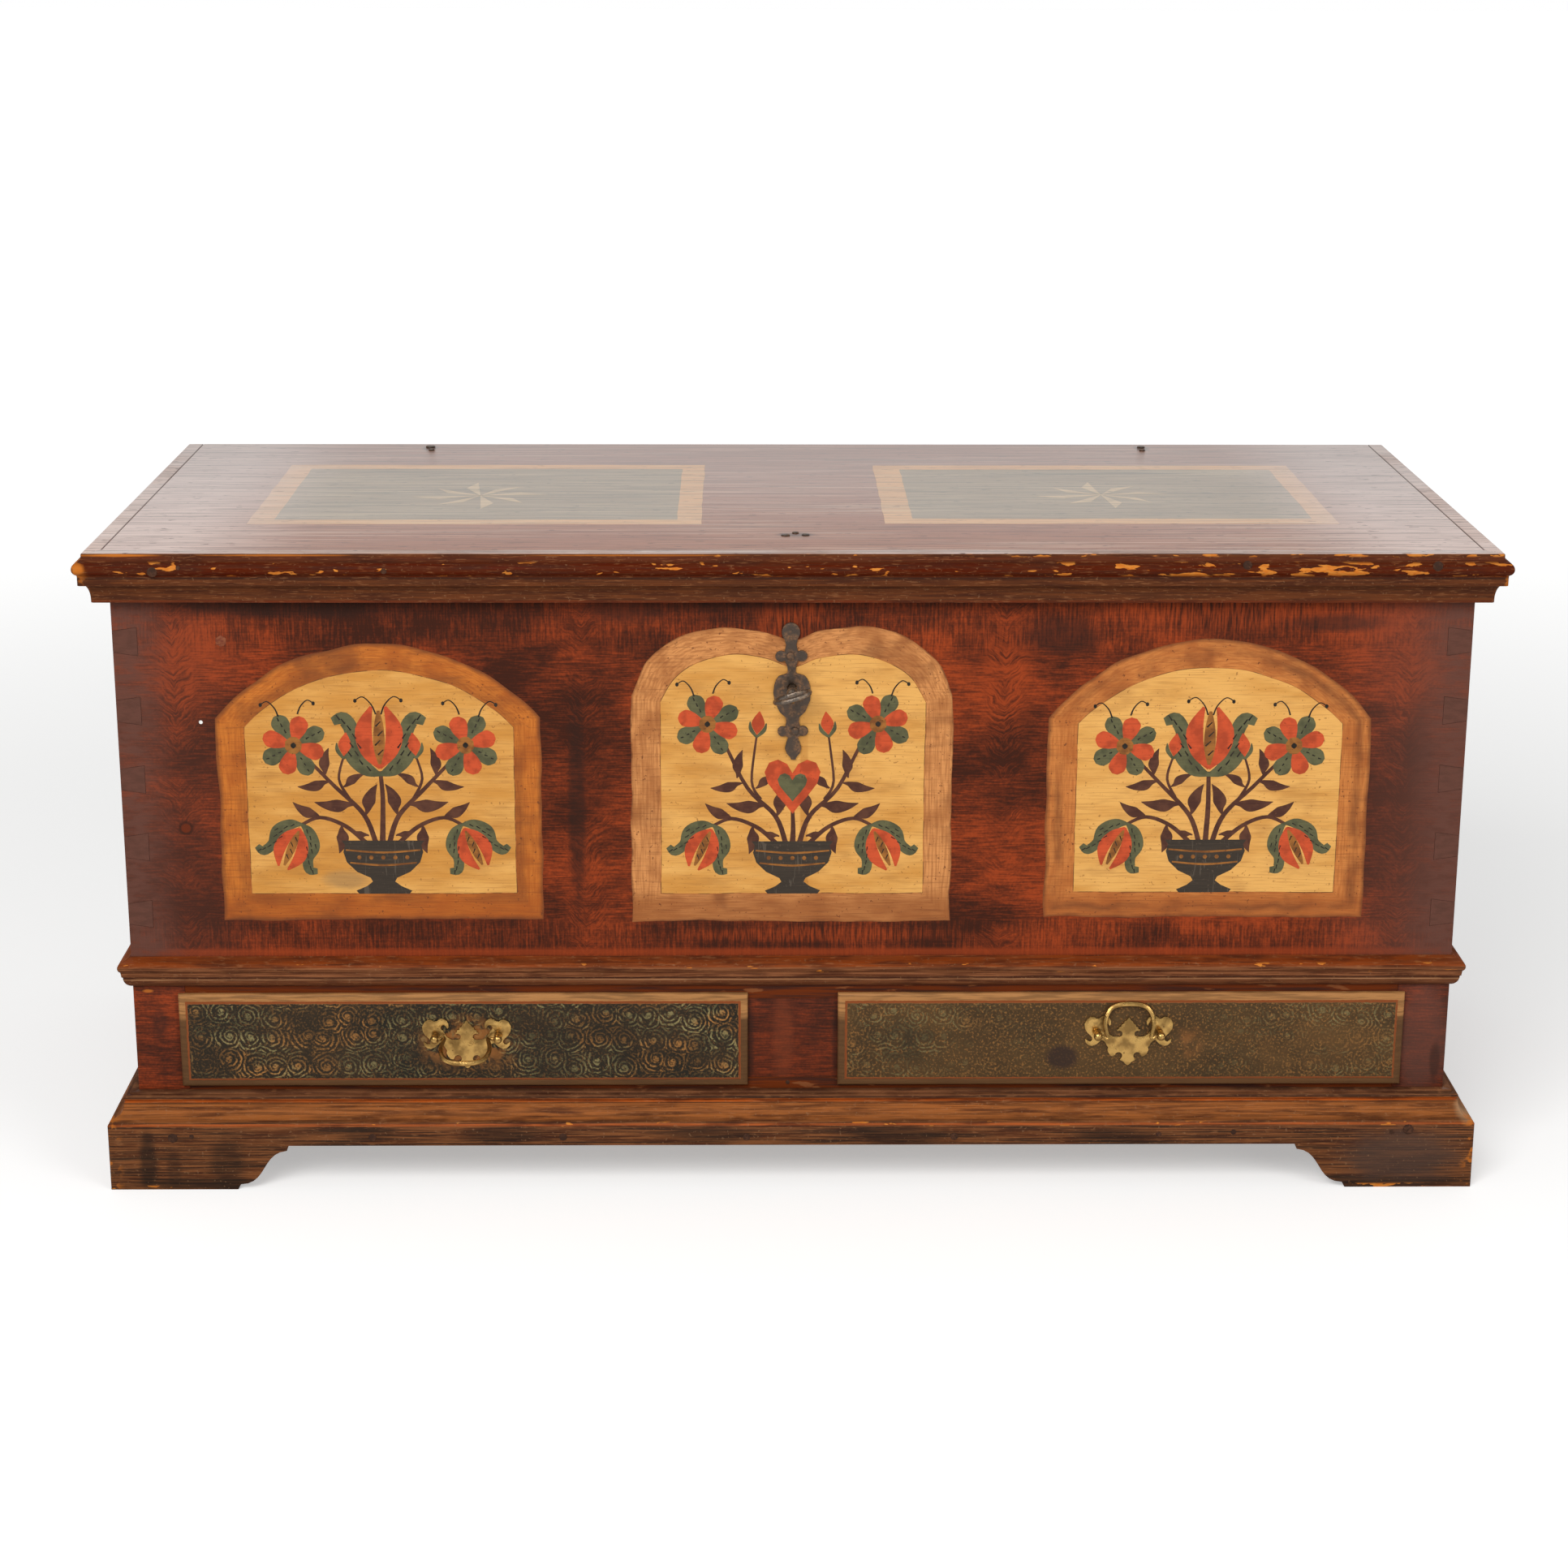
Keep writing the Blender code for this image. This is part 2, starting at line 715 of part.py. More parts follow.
strap_half_thick = strap_thick / 2
strap_arm_start = case_depth - hinge_axis_depth - overrun
strap_arm = [(strap_arm_start, -strap_half_thick), (0, -strap_half_thick),
             (0, strap_half_thick), (strap_arm_start, strap_half_thick)]
leaf_in = case_depth + seat - hinge_axis_depth
leaf_out = leaf_in + strap_thick
leaf_arm = [
    (leaf_in, -leaf_drop - knuckle_radius), (leaf_out, -leaf_drop - knuckle_radius),
    (hinge_pin_radius, -knuckle_radius + strap_half_thick), (0, 0), (-knuckle_radius, 0),
    (leaf_out - strap_half_thick, -leaf_drop), (leaf_in, -leaf_drop)]
for side, way in (("left", -1), ("right", 1)):
    x = way * hinge_spacing / 2
    strap = plate(side + "_lid_strap", [strap_outline()], strap_thick, iron,
                  (x, face_y + case_depth, hinge_axis_height), lying)
    add_eye(strap, side + "_strap_eye", x, knuckle_width, strap_arm)

    leaf_top = hinge_axis_height - leaf_drop
    leaf = block(side + "_back_leaf",
                 (x - leaf_width / 2, face_y + case_depth + seat, leaf_top - leaf_height),
                 (x + leaf_width / 2, face_y + case_depth + seat + strap_thick, leaf_top), iron)
    ear_width = (leaf_width - knuckle_width) / 2 - running_gap
    for end in (-1, 1):
        add_eye(leaf, f"{side}_leaf_eye_{'low' if end < 0 else 'high'}",
                x + end * (leaf_width - ear_width) / 2, ear_width, leaf_arm)

    pin_end = leaf_width / 2 + seat
    turned(side + "_hinge_pin",
           [(0, pin_end + hinge_pin_head), (hinge_pin_head_radius, pin_end + hinge_pin_head),
            (hinge_pin_head_radius, pin_end), (hinge_pin_radius, pin_end),
            (hinge_pin_radius, -pin_end), (0, -pin_end)],
           iron, (x, hinge_y, hinge_axis_height), (0, math.pi / 2, 0))

    cut(back_board, block(
        side + "_strap_notch",
        (x - strap_notch_half, face_y + back_inner_depth - overrun,
         lid_low - 2 * seat - strap_thick),
        (x + strap_notch_half, face_y + case_depth + overrun, case_top + overrun)))

# Lock: an open-fronted box on the front board's inner face, with a sliding bolt

lock_low = keyhole_height - lock_below_key
lock_high = case_top - lock_top_drop
lock_front = face_y + front_board_thick + seat
lock_half = lock_width / 2
hasp_front = face_y + hasp_tongue_depth
hasp_middle = hasp_front + hasp_tongue_width / 2
hasp_tip = lid_low - hasp_tongue_drop
eye_middle = hasp_tip + hasp_eye_rim + hasp_eye_height / 2

lock_case = block(
    "lock_case", (lock_offset - lock_half, lock_front, lock_low),
    (lock_offset + lock_half, lock_front + lock_depth, lock_high), iron)
cut(lock_case, block(
    "lock_hollow",
    (lock_offset - lock_half + lock_wall, lock_front - overrun, lock_low + lock_wall),
    (lock_offset + lock_half - lock_wall, lock_front + lock_depth - lock_wall,
     lock_high - lock_wall)))
cut(lock_case, block(
    "hasp_slot",
    (lock_offset - hasp_tongue_thick / 2 - running_gap, lock_front - overrun,
     lock_high - lock_wall - overrun),
    (lock_offset + hasp_tongue_thick / 2 + running_gap,
     hasp_front + hasp_tongue_width + running_gap, lock_high + overrun)))

bolt_low = keyhole_height + bolt_above_key
bolt_arm_top = bolt_low + bolt_arm_height
nose_low = eye_middle - bolt_nose_height / 2
nose_high = eye_middle + bolt_nose_height / 2
nose_tip = lock_offset + hasp_tongue_thick / 2 + bolt_nose_clear
arm_start = lock_offset + bolt_arm_start
stem_start = lock_offset + bolt_stem_start
stem_end = stem_start + bolt_stem_width
talon_low = lock_offset + talon_start
talon_high = talon_low + talon_width
plate("lock_bolt",
      [[(arm_start, bolt_low), (talon_low, bolt_low), (talon_low, bolt_low + talon_height),
        (talon_high, bolt_low + talon_height), (talon_high, bolt_low), (stem_end, bolt_low),
        (stem_end, nose_high), (nose_tip, nose_high), (nose_tip, nose_low),
        (stem_start, nose_low), (stem_start, bolt_arm_top), (arm_start, bolt_arm_top)]],
      bolt_thick, iron, (0, hasp_middle, 0), facing_front)

bearer_half = bolt_stem_width / 2
join(lock_case, block(
    "bolt_bearer",
    (stem_start, hasp_middle + bolt_thick / 2 + seat, bolt_arm_top),
    (stem_start + bearer_half, lock_front + lock_depth - lock_wall / 2, nose_low)))

# Hasp: a plate riveted under the lid, with an eyed tongue that drops into the lock

hasp = block(
    "lid_hasp",
    (lock_offset - hasp_plate_width / 2, hasp_front, lid_low - seat - hasp_plate_thick),
    (lock_offset + hasp_plate_width / 2, hasp_front + hasp_plate_length, lid_low - seat), iron)
tongue_low_corner = hasp_tongue_width / 4
tongue = plate(
    "hasp_tongue",
    [[(hasp_front, lid_low - seat), (hasp_front, hasp_tip + tongue_low_corner),
      (hasp_front + tongue_low_corner, hasp_tip),
      (hasp_front + hasp_tongue_width - tongue_low_corner, hasp_tip),
      (hasp_front + hasp_tongue_width, hasp_tip + tongue_low_corner),
      (hasp_front + hasp_tongue_width, lid_low - seat)]],
    hasp_tongue_thick, None, (lock_offset, 0, 0), facing_side)
join(hasp, tongue)
cut(hasp, block(
    "hasp_eye",
    (lock_offset - hasp_tongue_thick, hasp_middle - hasp_eye_width / 2,
     eye_middle - hasp_eye_height / 2),
    (lock_offset + hasp_tongue_thick, hasp_middle + hasp_eye_width / 2,
     eye_middle + hasp_eye_height / 2)))

# Key: bow, collar, shank and bit, turned together about the keyhole

key_turn = (0, -math.radians(key_tilt), 0)
key_place = (lock_offset, face_y, keyhole_height)
key_end = front_board_thick + lock_depth - lock_wall - key_tip_clear
bow_back = -key_bow_stand_off + key_bow_length / 2
key = turned(
    "key",
    [(0, key_end), (key_shank_radius, key_end), (key_shank_radius, bow_back + key_collar_length),
     (key_collar_radius, bow_back + key_collar_length), (key_collar_radius, bow_back),
     (key_shank_radius, bow_back - key_bow_wire), (0, bow_back - key_bow_wire)],
    iron, key_place, (-math.pi / 2, 0, 0))
bow_across = key_bow_width / 2 - key_bow_wire
bow_along = key_bow_length / 2 - key_bow_wire
bow_path = [(u, v, 0, 1) for u, v in arc((0, -key_bow_stand_off), (bow_across, bow_along),
                                         0, 360, 28)[:-1]]
bow = wire("key_bow", bow_path, key_bow_wire, None, key_place, key_turn, closed=True)
bit_middle = hasp_middle - face_y
bit = block("key_bit", (0, bit_middle - key_bit_width / 2, -key_bit_thick / 2),
            (key_bit_reach, bit_middle + key_bit_width / 2, key_bit_thick / 2))
bit.location = Vector(key_place) + Vector((
    key_bit_reach / 2 * math.cos(math.radians(key_tilt)), bit_middle,
    key_bit_reach / 2 * math.sin(math.radians(key_tilt))))
bit.rotation_euler = key_turn
join(key, bow, bit)


# Escutcheon: a cut iron plate with lobes, a shield round the keyhole and a bud

def escutcheon_half():
    """The right half, downwards, in shares of the plate's height."""
    knob = arc((0, -0.070), (0.065, 0.070), 90, -42, 8)
    upper_lobe = arc((0.073, -0.243), 0.041, 128, -128, 9)
    lower_lobe = arc((0.071, -0.790), 0.038, 118, -118, 9)
    shield_shares = [(0.028, -0.355), (0.036, -0.368), (0.090, -0.385), (0.112, -0.412),
                     (0.126, -0.453), (0.133, -0.504), (0.126, -0.568), (0.104, -0.619),
                     (0.088, -0.652), (0.050, -0.687), (0.045, -0.720)]
    bud_shares = [(0.035, -0.838), (0.047, -0.870), (0.059, -0.917), (0.047, -0.953),
                  (0.020, -0.985), (0.017, -1.0)]
    return (knob + [(0.036, -0.162)] + upper_lobe + [(0.031, -0.316)] + shield_shares
            + lower_lobe + bud_shares)


plate_high = keyhole_height + escutcheon_keyhole_share * escutcheon_height
lean = math.radians(escutcheon_tilt)
escutcheon_outline = [
    (lock_offset + u * math.cos(lean) - (v - keyhole_height) * math.sin(lean),
     keyhole_height + u * math.sin(lean) + (v - keyhole_height) * math.cos(lean))
    for u, v in mirrored([
        (share_out * escutcheon_height, plate_high + share_down * escutcheon_height)
        for share_out, share_down in escutcheon_half()])]
plate("escutcheon", [escutcheon_outline, keyhole(lock_offset, keyhole_height)],
      escutcheon_thick, iron, (0, face_y - seat - escutcheon_thick / 2, 0), facing_front)

# Till: two boards let into the case at the left end, and a lid that turns on wooden pintles

till_inner = -inner_half_width
till_front_x = till_inner + till_width
till_depth_low = face_y + front_board_thick
till_depth_high = face_y + back_inner_depth
till_floor_low = till_floor_height - till_board_thick
till_lid_low = till_lid_height - till_board_thick / 2
till_lid_high = till_lid_height + till_board_thick / 2


def housed_block(name, low, high, boards):
    """A board with a housing cut for it, a seat wider all round, in the boards that hold it."""
    block(name, low, high, bare_wood)
    grown = block(name + "_housing", [value - seat for value in low],
                  [value + seat for value in high])
    for board in boards:
        cut(board, grown)


housed_block(
    "till_front", (till_front_x, till_depth_low - till_housing, till_floor_low),
    (till_front_x + till_board_thick, till_depth_high + till_housing, till_lid_low - seat),
    (front_board, back_board))
housed_block(
    "till_bottom", (till_inner - till_housing, till_depth_low - till_housing, till_floor_low),
    (till_front_x - seat, till_depth_high + till_housing, till_floor_height),
    (front_board, back_board, side_boards["left"]))

pivot_x = till_inner + till_side_gap + till_board_thick / 2
till_lid_end = till_front_x + till_board_thick + till_lid_overhang
round_radius = till_board_thick / 2
till_lid_outline = (
    arc((pivot_x, till_lid_height), round_radius, 90, 270, 10)
    + arc((till_lid_end - round_radius, till_lid_height), round_radius, -90, 90, 8))
till_lid_length = till_depth_high - till_depth_low - 2 * till_end_gap
till_middle = (till_depth_low + till_depth_high) / 2
till_lid = plate("till_lid", [till_lid_outline], till_lid_length, bare_wood,
                 (0, till_middle, 0), facing_front)
pintle_span = till_lid_length + 2 * (till_end_gap + pintle_length)
pivot = (pivot_x, till_middle, till_lid_height)
join(till_lid, rod("till_pintles", pivot, pintle_radius, pintle_span, facing_front))
pintle_bore = rod("pintle_bore", pivot, pintle_radius + pintle_gap,
                  pintle_span + 2 * running_gap, facing_front)
cut(front_board, pintle_bore)
cut(back_board, pintle_bore)


# Pulls: a cut brass plate, two posts through the drawer front, and a bail between them

def pull_plate_half():
    """The right half of the plate, downwards, in shares of half its width."""
    point_shares = [(0.0, 0.374), (0.055, 0.300), (0.095, 0.272), (0.110, 0.222), (0.155, 0.205),
                    (0.168, 0.155), (0.212, 0.140), (0.222, 0.095), (0.268, 0.079)]
    inner_notch = arc((0.205, -0.015), 0.072, 60, 290, 8)
    wing_shares = [(0.341, -0.080), (0.440, -0.020), (0.490, 0.060)]
    crook_notch = arc((0.511, 0.195), 0.062, -75, 165, 8)
    wing_top_shares = [(0.432, 0.170), (0.398, 0.210), (0.400, 0.290), (0.435, 0.360),
                       (0.500, 0.405), (0.560, 0.415), (0.620, 0.385), (0.665, 0.350),
                       (0.716, 0.345), (0.790, 0.388), (0.862, 0.380), (0.935, 0.330),
                       (0.987, 0.224), (0.975, 0.110), (0.923, 0.018), (0.840, -0.060)]
    tail_notch = arc((0.862, -0.130), 0.060, 120, 330, 7)
    wing_tail_shares = [(0.963, -0.130), (0.950, -0.220), (0.880, -0.290), (0.800, -0.305),
                        (0.700, -0.260), (0.653, -0.213), (0.602, -0.160), (0.540, -0.190),
                        (0.508, -0.233)]
    body_shares = [(0.470, -0.300), (0.446, -0.336), (0.460, -0.400), (0.424, -0.484),
                   (0.370, -0.545), (0.310, -0.556)]
    foot_notch = arc((0.207, -0.534), 0.083, 8, 230, 7)
    tip_shares = [(0.176, -0.637), (0.130, -0.660), (0.092, -0.681), (0.050, -0.735), (0.0, -0.765)]
    return (point_shares + inner_notch + wing_shares + crook_notch + wing_top_shares + tail_notch
            + wing_tail_shares + body_shares + foot_notch + tip_shares)


def bail_path():
    """Half the bail in shares of the post spacing and of the drop, with its wire's radius share.

    The ends turn outward into the posts, and the wire rises over a swan neck before it hangs.
    """
    pin_share = bail_pin_radius / bail_wire_radius
    half = pull_spacing / 2
    knots = [(0.805, 0.02, 0.60), (0.745, 0.07, 0.64), (0.690, 0.02, 0.72),
             (0.735, -0.16, 0.80), (0.770, -0.36, 0.84), (0.735, -0.62, 0.90),
             (0.590, -0.86, 0.95), (0.330, -0.975, 1.0), (0.0, -1.0, 1.0)]
    pin_end = half + bail_pin_entry
    ball_face = half - post_ball_radius - seat
    path = [(pin_end, 0, 0, pin_share), (ball_face, 0, 0, pin_share)]
    path += [(half * u, 0, bail_drop * v, share) for u, v, share in smooth_path(knots, 3)]
    return path + [(-x, y, z, share) for x, y, z, share in reversed(path[:-1])]


def post_profile():
    """The turned post from its ball head, through the plate and the drawer front, to its nut."""
    plate_back = -post_reach - plate_thick
    shank_end = plate_back - seat - lip_proud - seat - front_rebate_depth
    ball = [(post_ball_radius * math.cos(math.radians(a)), post_ball_radius * math.sin(
        math.radians(a))) for a in (90, 67.5, 45, 22.5, 0, -22.5)]
    ball[0] = (0, post_ball_radius)
    return ball + [
        (post_neck_radius, -post_ball_radius), (post_neck_radius, post_collar_height - post_reach),
        (post_collar_radius, post_collar_height - post_reach),
        (post_collar_radius, seat - post_reach), (post_shank_radius, seat - post_reach),
        (post_shank_radius, shank_end - seat), (post_nut_radius, shank_end - seat),
        (post_nut_radius, shank_end - seat - post_nut_thick), (0, shank_end - seat - post_nut_thick)]


def pull(side, x, height, bail_turn, drawer_front):
    """One pull on a drawer front; the bail's origin is on its swing axis."""
    axis_y = face_y - bail_axis_proud
    plate_y = face_y - lip_proud - seat - plate_thick / 2
    half = pull_spacing / 2
    plate_outline = mirrored([
        (u * plate_half_width, v * plate_half_width) for u, v in pull_plate_half()])
    holes = [arc((way * half, 0), post_shank_radius + seat, 0, 360, 16)[:-1] for way in (-1, 1)]
    plate(side + "_pull_plate", [plate_outline, *holes], plate_thick, brass,
          (x, plate_y, height), facing_front)
    for end, way in (("left", -1), ("right", 1)):
        place = (x + way * half, axis_y, height)
        post = turned("_".join((side, "pull_post", end)), post_profile(), brass, place,
                      facing_front)
        bore_end = half + bail_pin_entry + running_gap
        bore_length = bail_pin_entry + running_gap + post_ball_radius + overrun
        cut(post, rod("_".join((side, end, "post_bore")),
                      (x + way * (bore_end - bore_length / 2), axis_y, height),
                      bail_pin_radius + seat, bore_length, (0, math.pi / 2, 0), sides=12))
        through = rod("_".join((side, end, "post_hole")), place, post_shank_radius + seat,
                      2 * (bail_axis_proud + front_rebate_depth + overrun), facing_front,
                      sides=16)
        cut(drawer_front, through)
    wire(side + "_bail", bail_path(), bail_wire_radius, brass, (x, axis_y, height),
         (-bail_turn, 0, 0))


# Drawers: lipped front, dovetailed sides and back, and a bottom in grooves

def drawer(side, way, pull_offset, pull_lift, bail_turn):
    """One drawer, shut in its bay, with its pull."""
    centre = way * bay_centre
    body_half = bay_width / 2 - running_gap
    body_low = bay_floor_top + running_gap
    body_high = chest_floor_low - running_gap
    body_height = body_high - body_low
    middle_height = (body_low + body_high) / 2
    lip_over = lip_lap + running_gap

    front = block(
        side + "_drawer_front",
        (centre - body_half - lip_over, face_y - seat - lip_edge, body_low - lip_over),
        (centre + body_half + lip_over, face_y - seat, body_high + lip_over), drawer_paint)
    form = bmesh.new()
    form.from_mesh(front.data)
    form.faces.ensure_lookup_table()
    back_face = max(form.faces, key=lambda face: face.normal.y)
    front_face = min(form.faces, key=lambda face: face.normal.y)
    bmesh.ops.inset_individual(form, faces=[back_face], thickness=lip_over, use_even_offset=True)
    bmesh.ops.inset_individual(form, faces=[back_face], depth=front_rebate_depth)
    ovolo_rise = lip_proud - lip_edge - lip_fillet - seat
    edge_points = arc((lip_ovolo_width, 0), (lip_ovolo_width, ovolo_rise), 180, 90, 6)
    for (from_edge, from_rise), (to_edge, to_rise) in zip(edge_points, edge_points[1:]):
        bmesh.ops.inset_individual(form, faces=[front_face], thickness=to_edge - from_edge,
                                   depth=to_rise - from_rise, use_even_offset=True)
    bmesh.ops.inset_individual(form, faces=[front_face], depth=lip_fillet)
    form.to_mesh(front.data)
    form.free()

    side_low = bay_floor_top + seat
    side_high = body_high - drawer_side_drop
    joint_depth = front_rebate_depth - seat
    tail_front = joint_depth - drawer_tail_length
    bottom_low = side_low + drawer_bottom_lift
    bottom_high = bottom_low + drawer_bottom_thick
    inside_half = body_half - drawer_side_thick

    def side_outline(grow=0.0, past=(0.0, 0.0)):
        return tailed_outline(
            (face_y + tail_front, face_y + drawer_length), side_low, side_high, drawer_tails,
            (drawer_tail_length, drawer_back_thick), grow, past)

    bottom_half = inside_half + drawer_groove
    bottom_front = face_y + joint_depth - drawer_groove
    bottom_back = face_y + drawer_length
    block(side + "_drawer_bottom", (centre - bottom_half, bottom_front, bottom_low),
          (centre + bottom_half, bottom_back, bottom_high), bare_wood)
    groove = block(side + "_bottom_groove",
                   (centre - bottom_half - seat, bottom_front - seat, bottom_low - seat),
                   (centre + bottom_half + seat, bottom_back + overrun, bottom_high + seat))
    cut(front, groove)

    back = block(side + "_drawer_back",
                 (centre - body_half, face_y + drawer_length - drawer_back_thick,
                  bottom_high + seat),
                 (centre + body_half, face_y + drawer_length, side_high - drawer_back_drop),
                 bare_wood)
    for end, end_way in (("left", -1), ("right", 1)):
        board_x = centre + end_way * (body_half - drawer_side_thick / 2)
        board = plate("_".join((side, "drawer_side", end)), [side_outline()],
                      drawer_side_thick, bare_wood, (board_x, 0, 0), facing_side)
        cut(board, groove)
        socket_thick = drawer_side_thick + seat + overrun
        socket_x = centre + end_way * (body_half + overrun - socket_thick / 2)
        sockets = plate("_".join((side, end, "tail_cutter")),
                        [side_outline(seat, (seat, overrun))], socket_thick, None,
                        (socket_x, 0, 0), facing_side)
        cut(front, sockets)
        cut(back, sockets)

    pull(side, centre + pull_offset, middle_height + pull_lift, bail_turn, front)


# The left bail stands stiffly out, and the right one is thrown up against its drawer front
leaning = math.asin((bail_axis_proud - lip_proud - bail_wire_radius - seat) / bail_drop)
drawer("left", -1, left_pull_offset, left_pull_lift, math.radians(left_bail_swing))
drawer("right", 1, right_pull_offset, right_pull_lift, math.pi + leaning)
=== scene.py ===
"""Marriage chest: the looks of the painted chest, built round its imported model.

Lengths are metres and +Z is up.  The front faces -Y, and the floor is at zero.  In a finish,
waves are counts a metre, and shares and levels run from 0 to 1.
"""
import math

import bpy
from mathutils import Matrix, Vector, noise


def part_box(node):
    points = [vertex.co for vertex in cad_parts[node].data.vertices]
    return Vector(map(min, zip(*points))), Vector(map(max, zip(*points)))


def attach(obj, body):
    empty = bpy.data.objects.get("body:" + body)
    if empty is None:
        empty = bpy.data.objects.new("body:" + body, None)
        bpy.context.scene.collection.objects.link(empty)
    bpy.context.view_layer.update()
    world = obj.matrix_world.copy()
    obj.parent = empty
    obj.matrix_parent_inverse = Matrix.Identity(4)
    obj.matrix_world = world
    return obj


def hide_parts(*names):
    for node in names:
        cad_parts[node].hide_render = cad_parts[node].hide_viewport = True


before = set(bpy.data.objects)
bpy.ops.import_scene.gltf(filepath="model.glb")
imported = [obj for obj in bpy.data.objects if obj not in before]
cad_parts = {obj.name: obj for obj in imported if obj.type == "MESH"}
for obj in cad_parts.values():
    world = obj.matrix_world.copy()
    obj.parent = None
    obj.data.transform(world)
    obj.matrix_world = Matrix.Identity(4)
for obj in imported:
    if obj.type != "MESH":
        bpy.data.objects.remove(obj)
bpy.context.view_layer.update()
bpy.context.scene.view_settings.view_transform = "Standard"

# The studio: a pale floor in a white room, and two soft lamps high in front.
# The room is white behind the chest and dim behind the camera, so that only the lid and the
# edges catch its reflection.
floor_size = 60.0
floor_colour = (0.80, 0.80, 0.79)
floor_roughness = 0.9
glow_near, glow_far = 0.40, 0.85
glow_start, glow_full = 1.1, 5.0
room_light = 0.34
room_behind_camera = 0.10
room_turn_low, room_turn_high = -0.55, 0.35
lamps_aim = (0, 0, 0.35)


class Mixing:
    """Nodes added one at a time to a material or the world; each call gives the new output."""

    def __init__(self, holder):
        holder.use_nodes = True
        self.holder = holder
        self.tree = holder.node_tree

    def add(self, kind, inputs=None, **settings):
        """A node, with each of its inputs given a value or an output to read."""
        node = self.tree.nodes.new("ShaderNode" + kind)
        for name, value in settings.items():
            setattr(node, name, value)
        for key, value in (inputs or {}).items():
            socket = node.inputs[key]
            if isinstance(value, bpy.types.NodeSocket):
                self.tree.links.new(value, socket)
            elif socket.type == "RGBA":
                socket.default_value = (*value, 1)
            else:
                socket.default_value = value
        return node

    def maths(self, sum_kind, first, second=0.0, third=0.0):
        inputs = {0: first, 1: second, 2: third}
        return self.add("Math", inputs, operation=sum_kind).outputs[0]

    def step(self, value, low, high):
        """A smooth rise from 0 to 1 as a value goes from low to high."""
        inputs = {"Value": value, "From Min": low, "From Max": high}
        return self.add("MapRange", inputs, interpolation_type="SMOOTHSTEP").outputs[0]

    def choose(self, share, first, second):
        """A number part of the way from one to another."""
        return self.add("Mix", {0: share, 2: first, 3: second}, data_type="FLOAT").outputs[0]


room = Mixing(bpy.data.worlds.new("studio_room"))
bpy.context.scene.world = room.holder
ray = room.add("LightPath").outputs
looking = room.add("SeparateXYZ", {0: room.add("TexCoord").outputs["Generated"]}).outputs["Y"]
behind = room.step(looking, room_turn_low, room_turn_high)
mirrored_room = room.choose(behind, room_behind_camera, 1.0)
shown = room.maths("MAXIMUM", ray["Is Camera Ray"], ray["Is Transmission Ray"])
strength = room.choose(ray["Is Glossy Ray"], room_light, mirrored_room)
backdrop = room.tree.nodes["Background"]
backdrop.inputs["Color"].default_value = (1, 1, 1, 1)
room.tree.links.new(room.choose(shown, strength, 1.0), backdrop.inputs["Strength"])

bpy.ops.object.select_all(action="DESELECT")
bpy.ops.mesh.primitive_plane_add(size=floor_size)
floor = bpy.context.object
floor.name = "studio_floor"
floor_paint = Mixing(bpy.data.materials.new("floor_paint"))
floor_shader = floor_paint.tree.nodes["Principled BSDF"]
floor_shader.inputs["Base Color"].default_value = (*floor_colour, 1)
floor_shader.inputs["Roughness"].default_value = floor_roughness
floor_shader.inputs["Emission Color"].default_value = (1, 1, 1, 1)
from_chest = floor_paint.add("VectorMath", {0: floor_paint.add("TexCoord").outputs["Object"]},
                             operation="LENGTH").outputs["Value"]
floor_glow = floor_paint.choose(
    floor_paint.step(from_chest, glow_start, glow_full), glow_near, glow_far)
floor_ray = floor_paint.add("LightPath").outputs
floor_seen = floor_paint.maths("MAXIMUM", floor_ray["Is Transmission Ray"], floor_paint.maths(
    "MAXIMUM", floor_ray["Is Camera Ray"], floor_ray["Is Glossy Ray"]))
floor_paint.tree.links.new(
    floor_paint.maths("MULTIPLY", floor_seen, floor_glow), floor_shader.inputs["Emission Strength"])
floor.data.materials.append(floor_paint.holder)

for name, place, size, power in (
        ("key_lamp", (-1.3, -3.4, 3.0), 2.2, 118.0),
        ("fill_lamp", (2.4, -3.0, 2.0), 1.8, 43.0)):
    bpy.ops.object.light_add(type="AREA", location=place)
    lamp = bpy.context.object
    lamp.name = name
    lamp.data.size = size
    lamp.data.energy = power
    aim = Vector(lamps_aim) - Vector(place)
    lamp.rotation_euler = aim.to_track_quat("-Z", "Y").to_euler()

# The camera stands where the photograph's own edges put it, a little left of the middle, and
# looks slightly down on the lid.
face_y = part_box("front_board")[0].y
camera_back = 2.939
camera_across = -0.0467
camera_height = 1.2789
camera_down = 0.2839
camera_turn = -0.01185
camera_roll = -0.0027
bpy.ops.object.camera_add(
    location=(camera_across, face_y - camera_back, camera_height),
    rotation=(math.pi / 2 - camera_down, camera_roll, camera_turn))
camera = bpy.context.object
camera.data.lens = 70.94
camera.data.sensor_width = 36
bpy.context.scene.camera = camera

# The case: dovetailed softwood boards under old red-brown paint, which was laid on dark and
# combed while wet, so that the orange coat below shows in short strokes that turn every way.
case_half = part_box("front_board")[1].x
back_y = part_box("back_board")[1].y
facing_front = (math.pi / 2, 0, 0)
lying = (0, 0, 0)


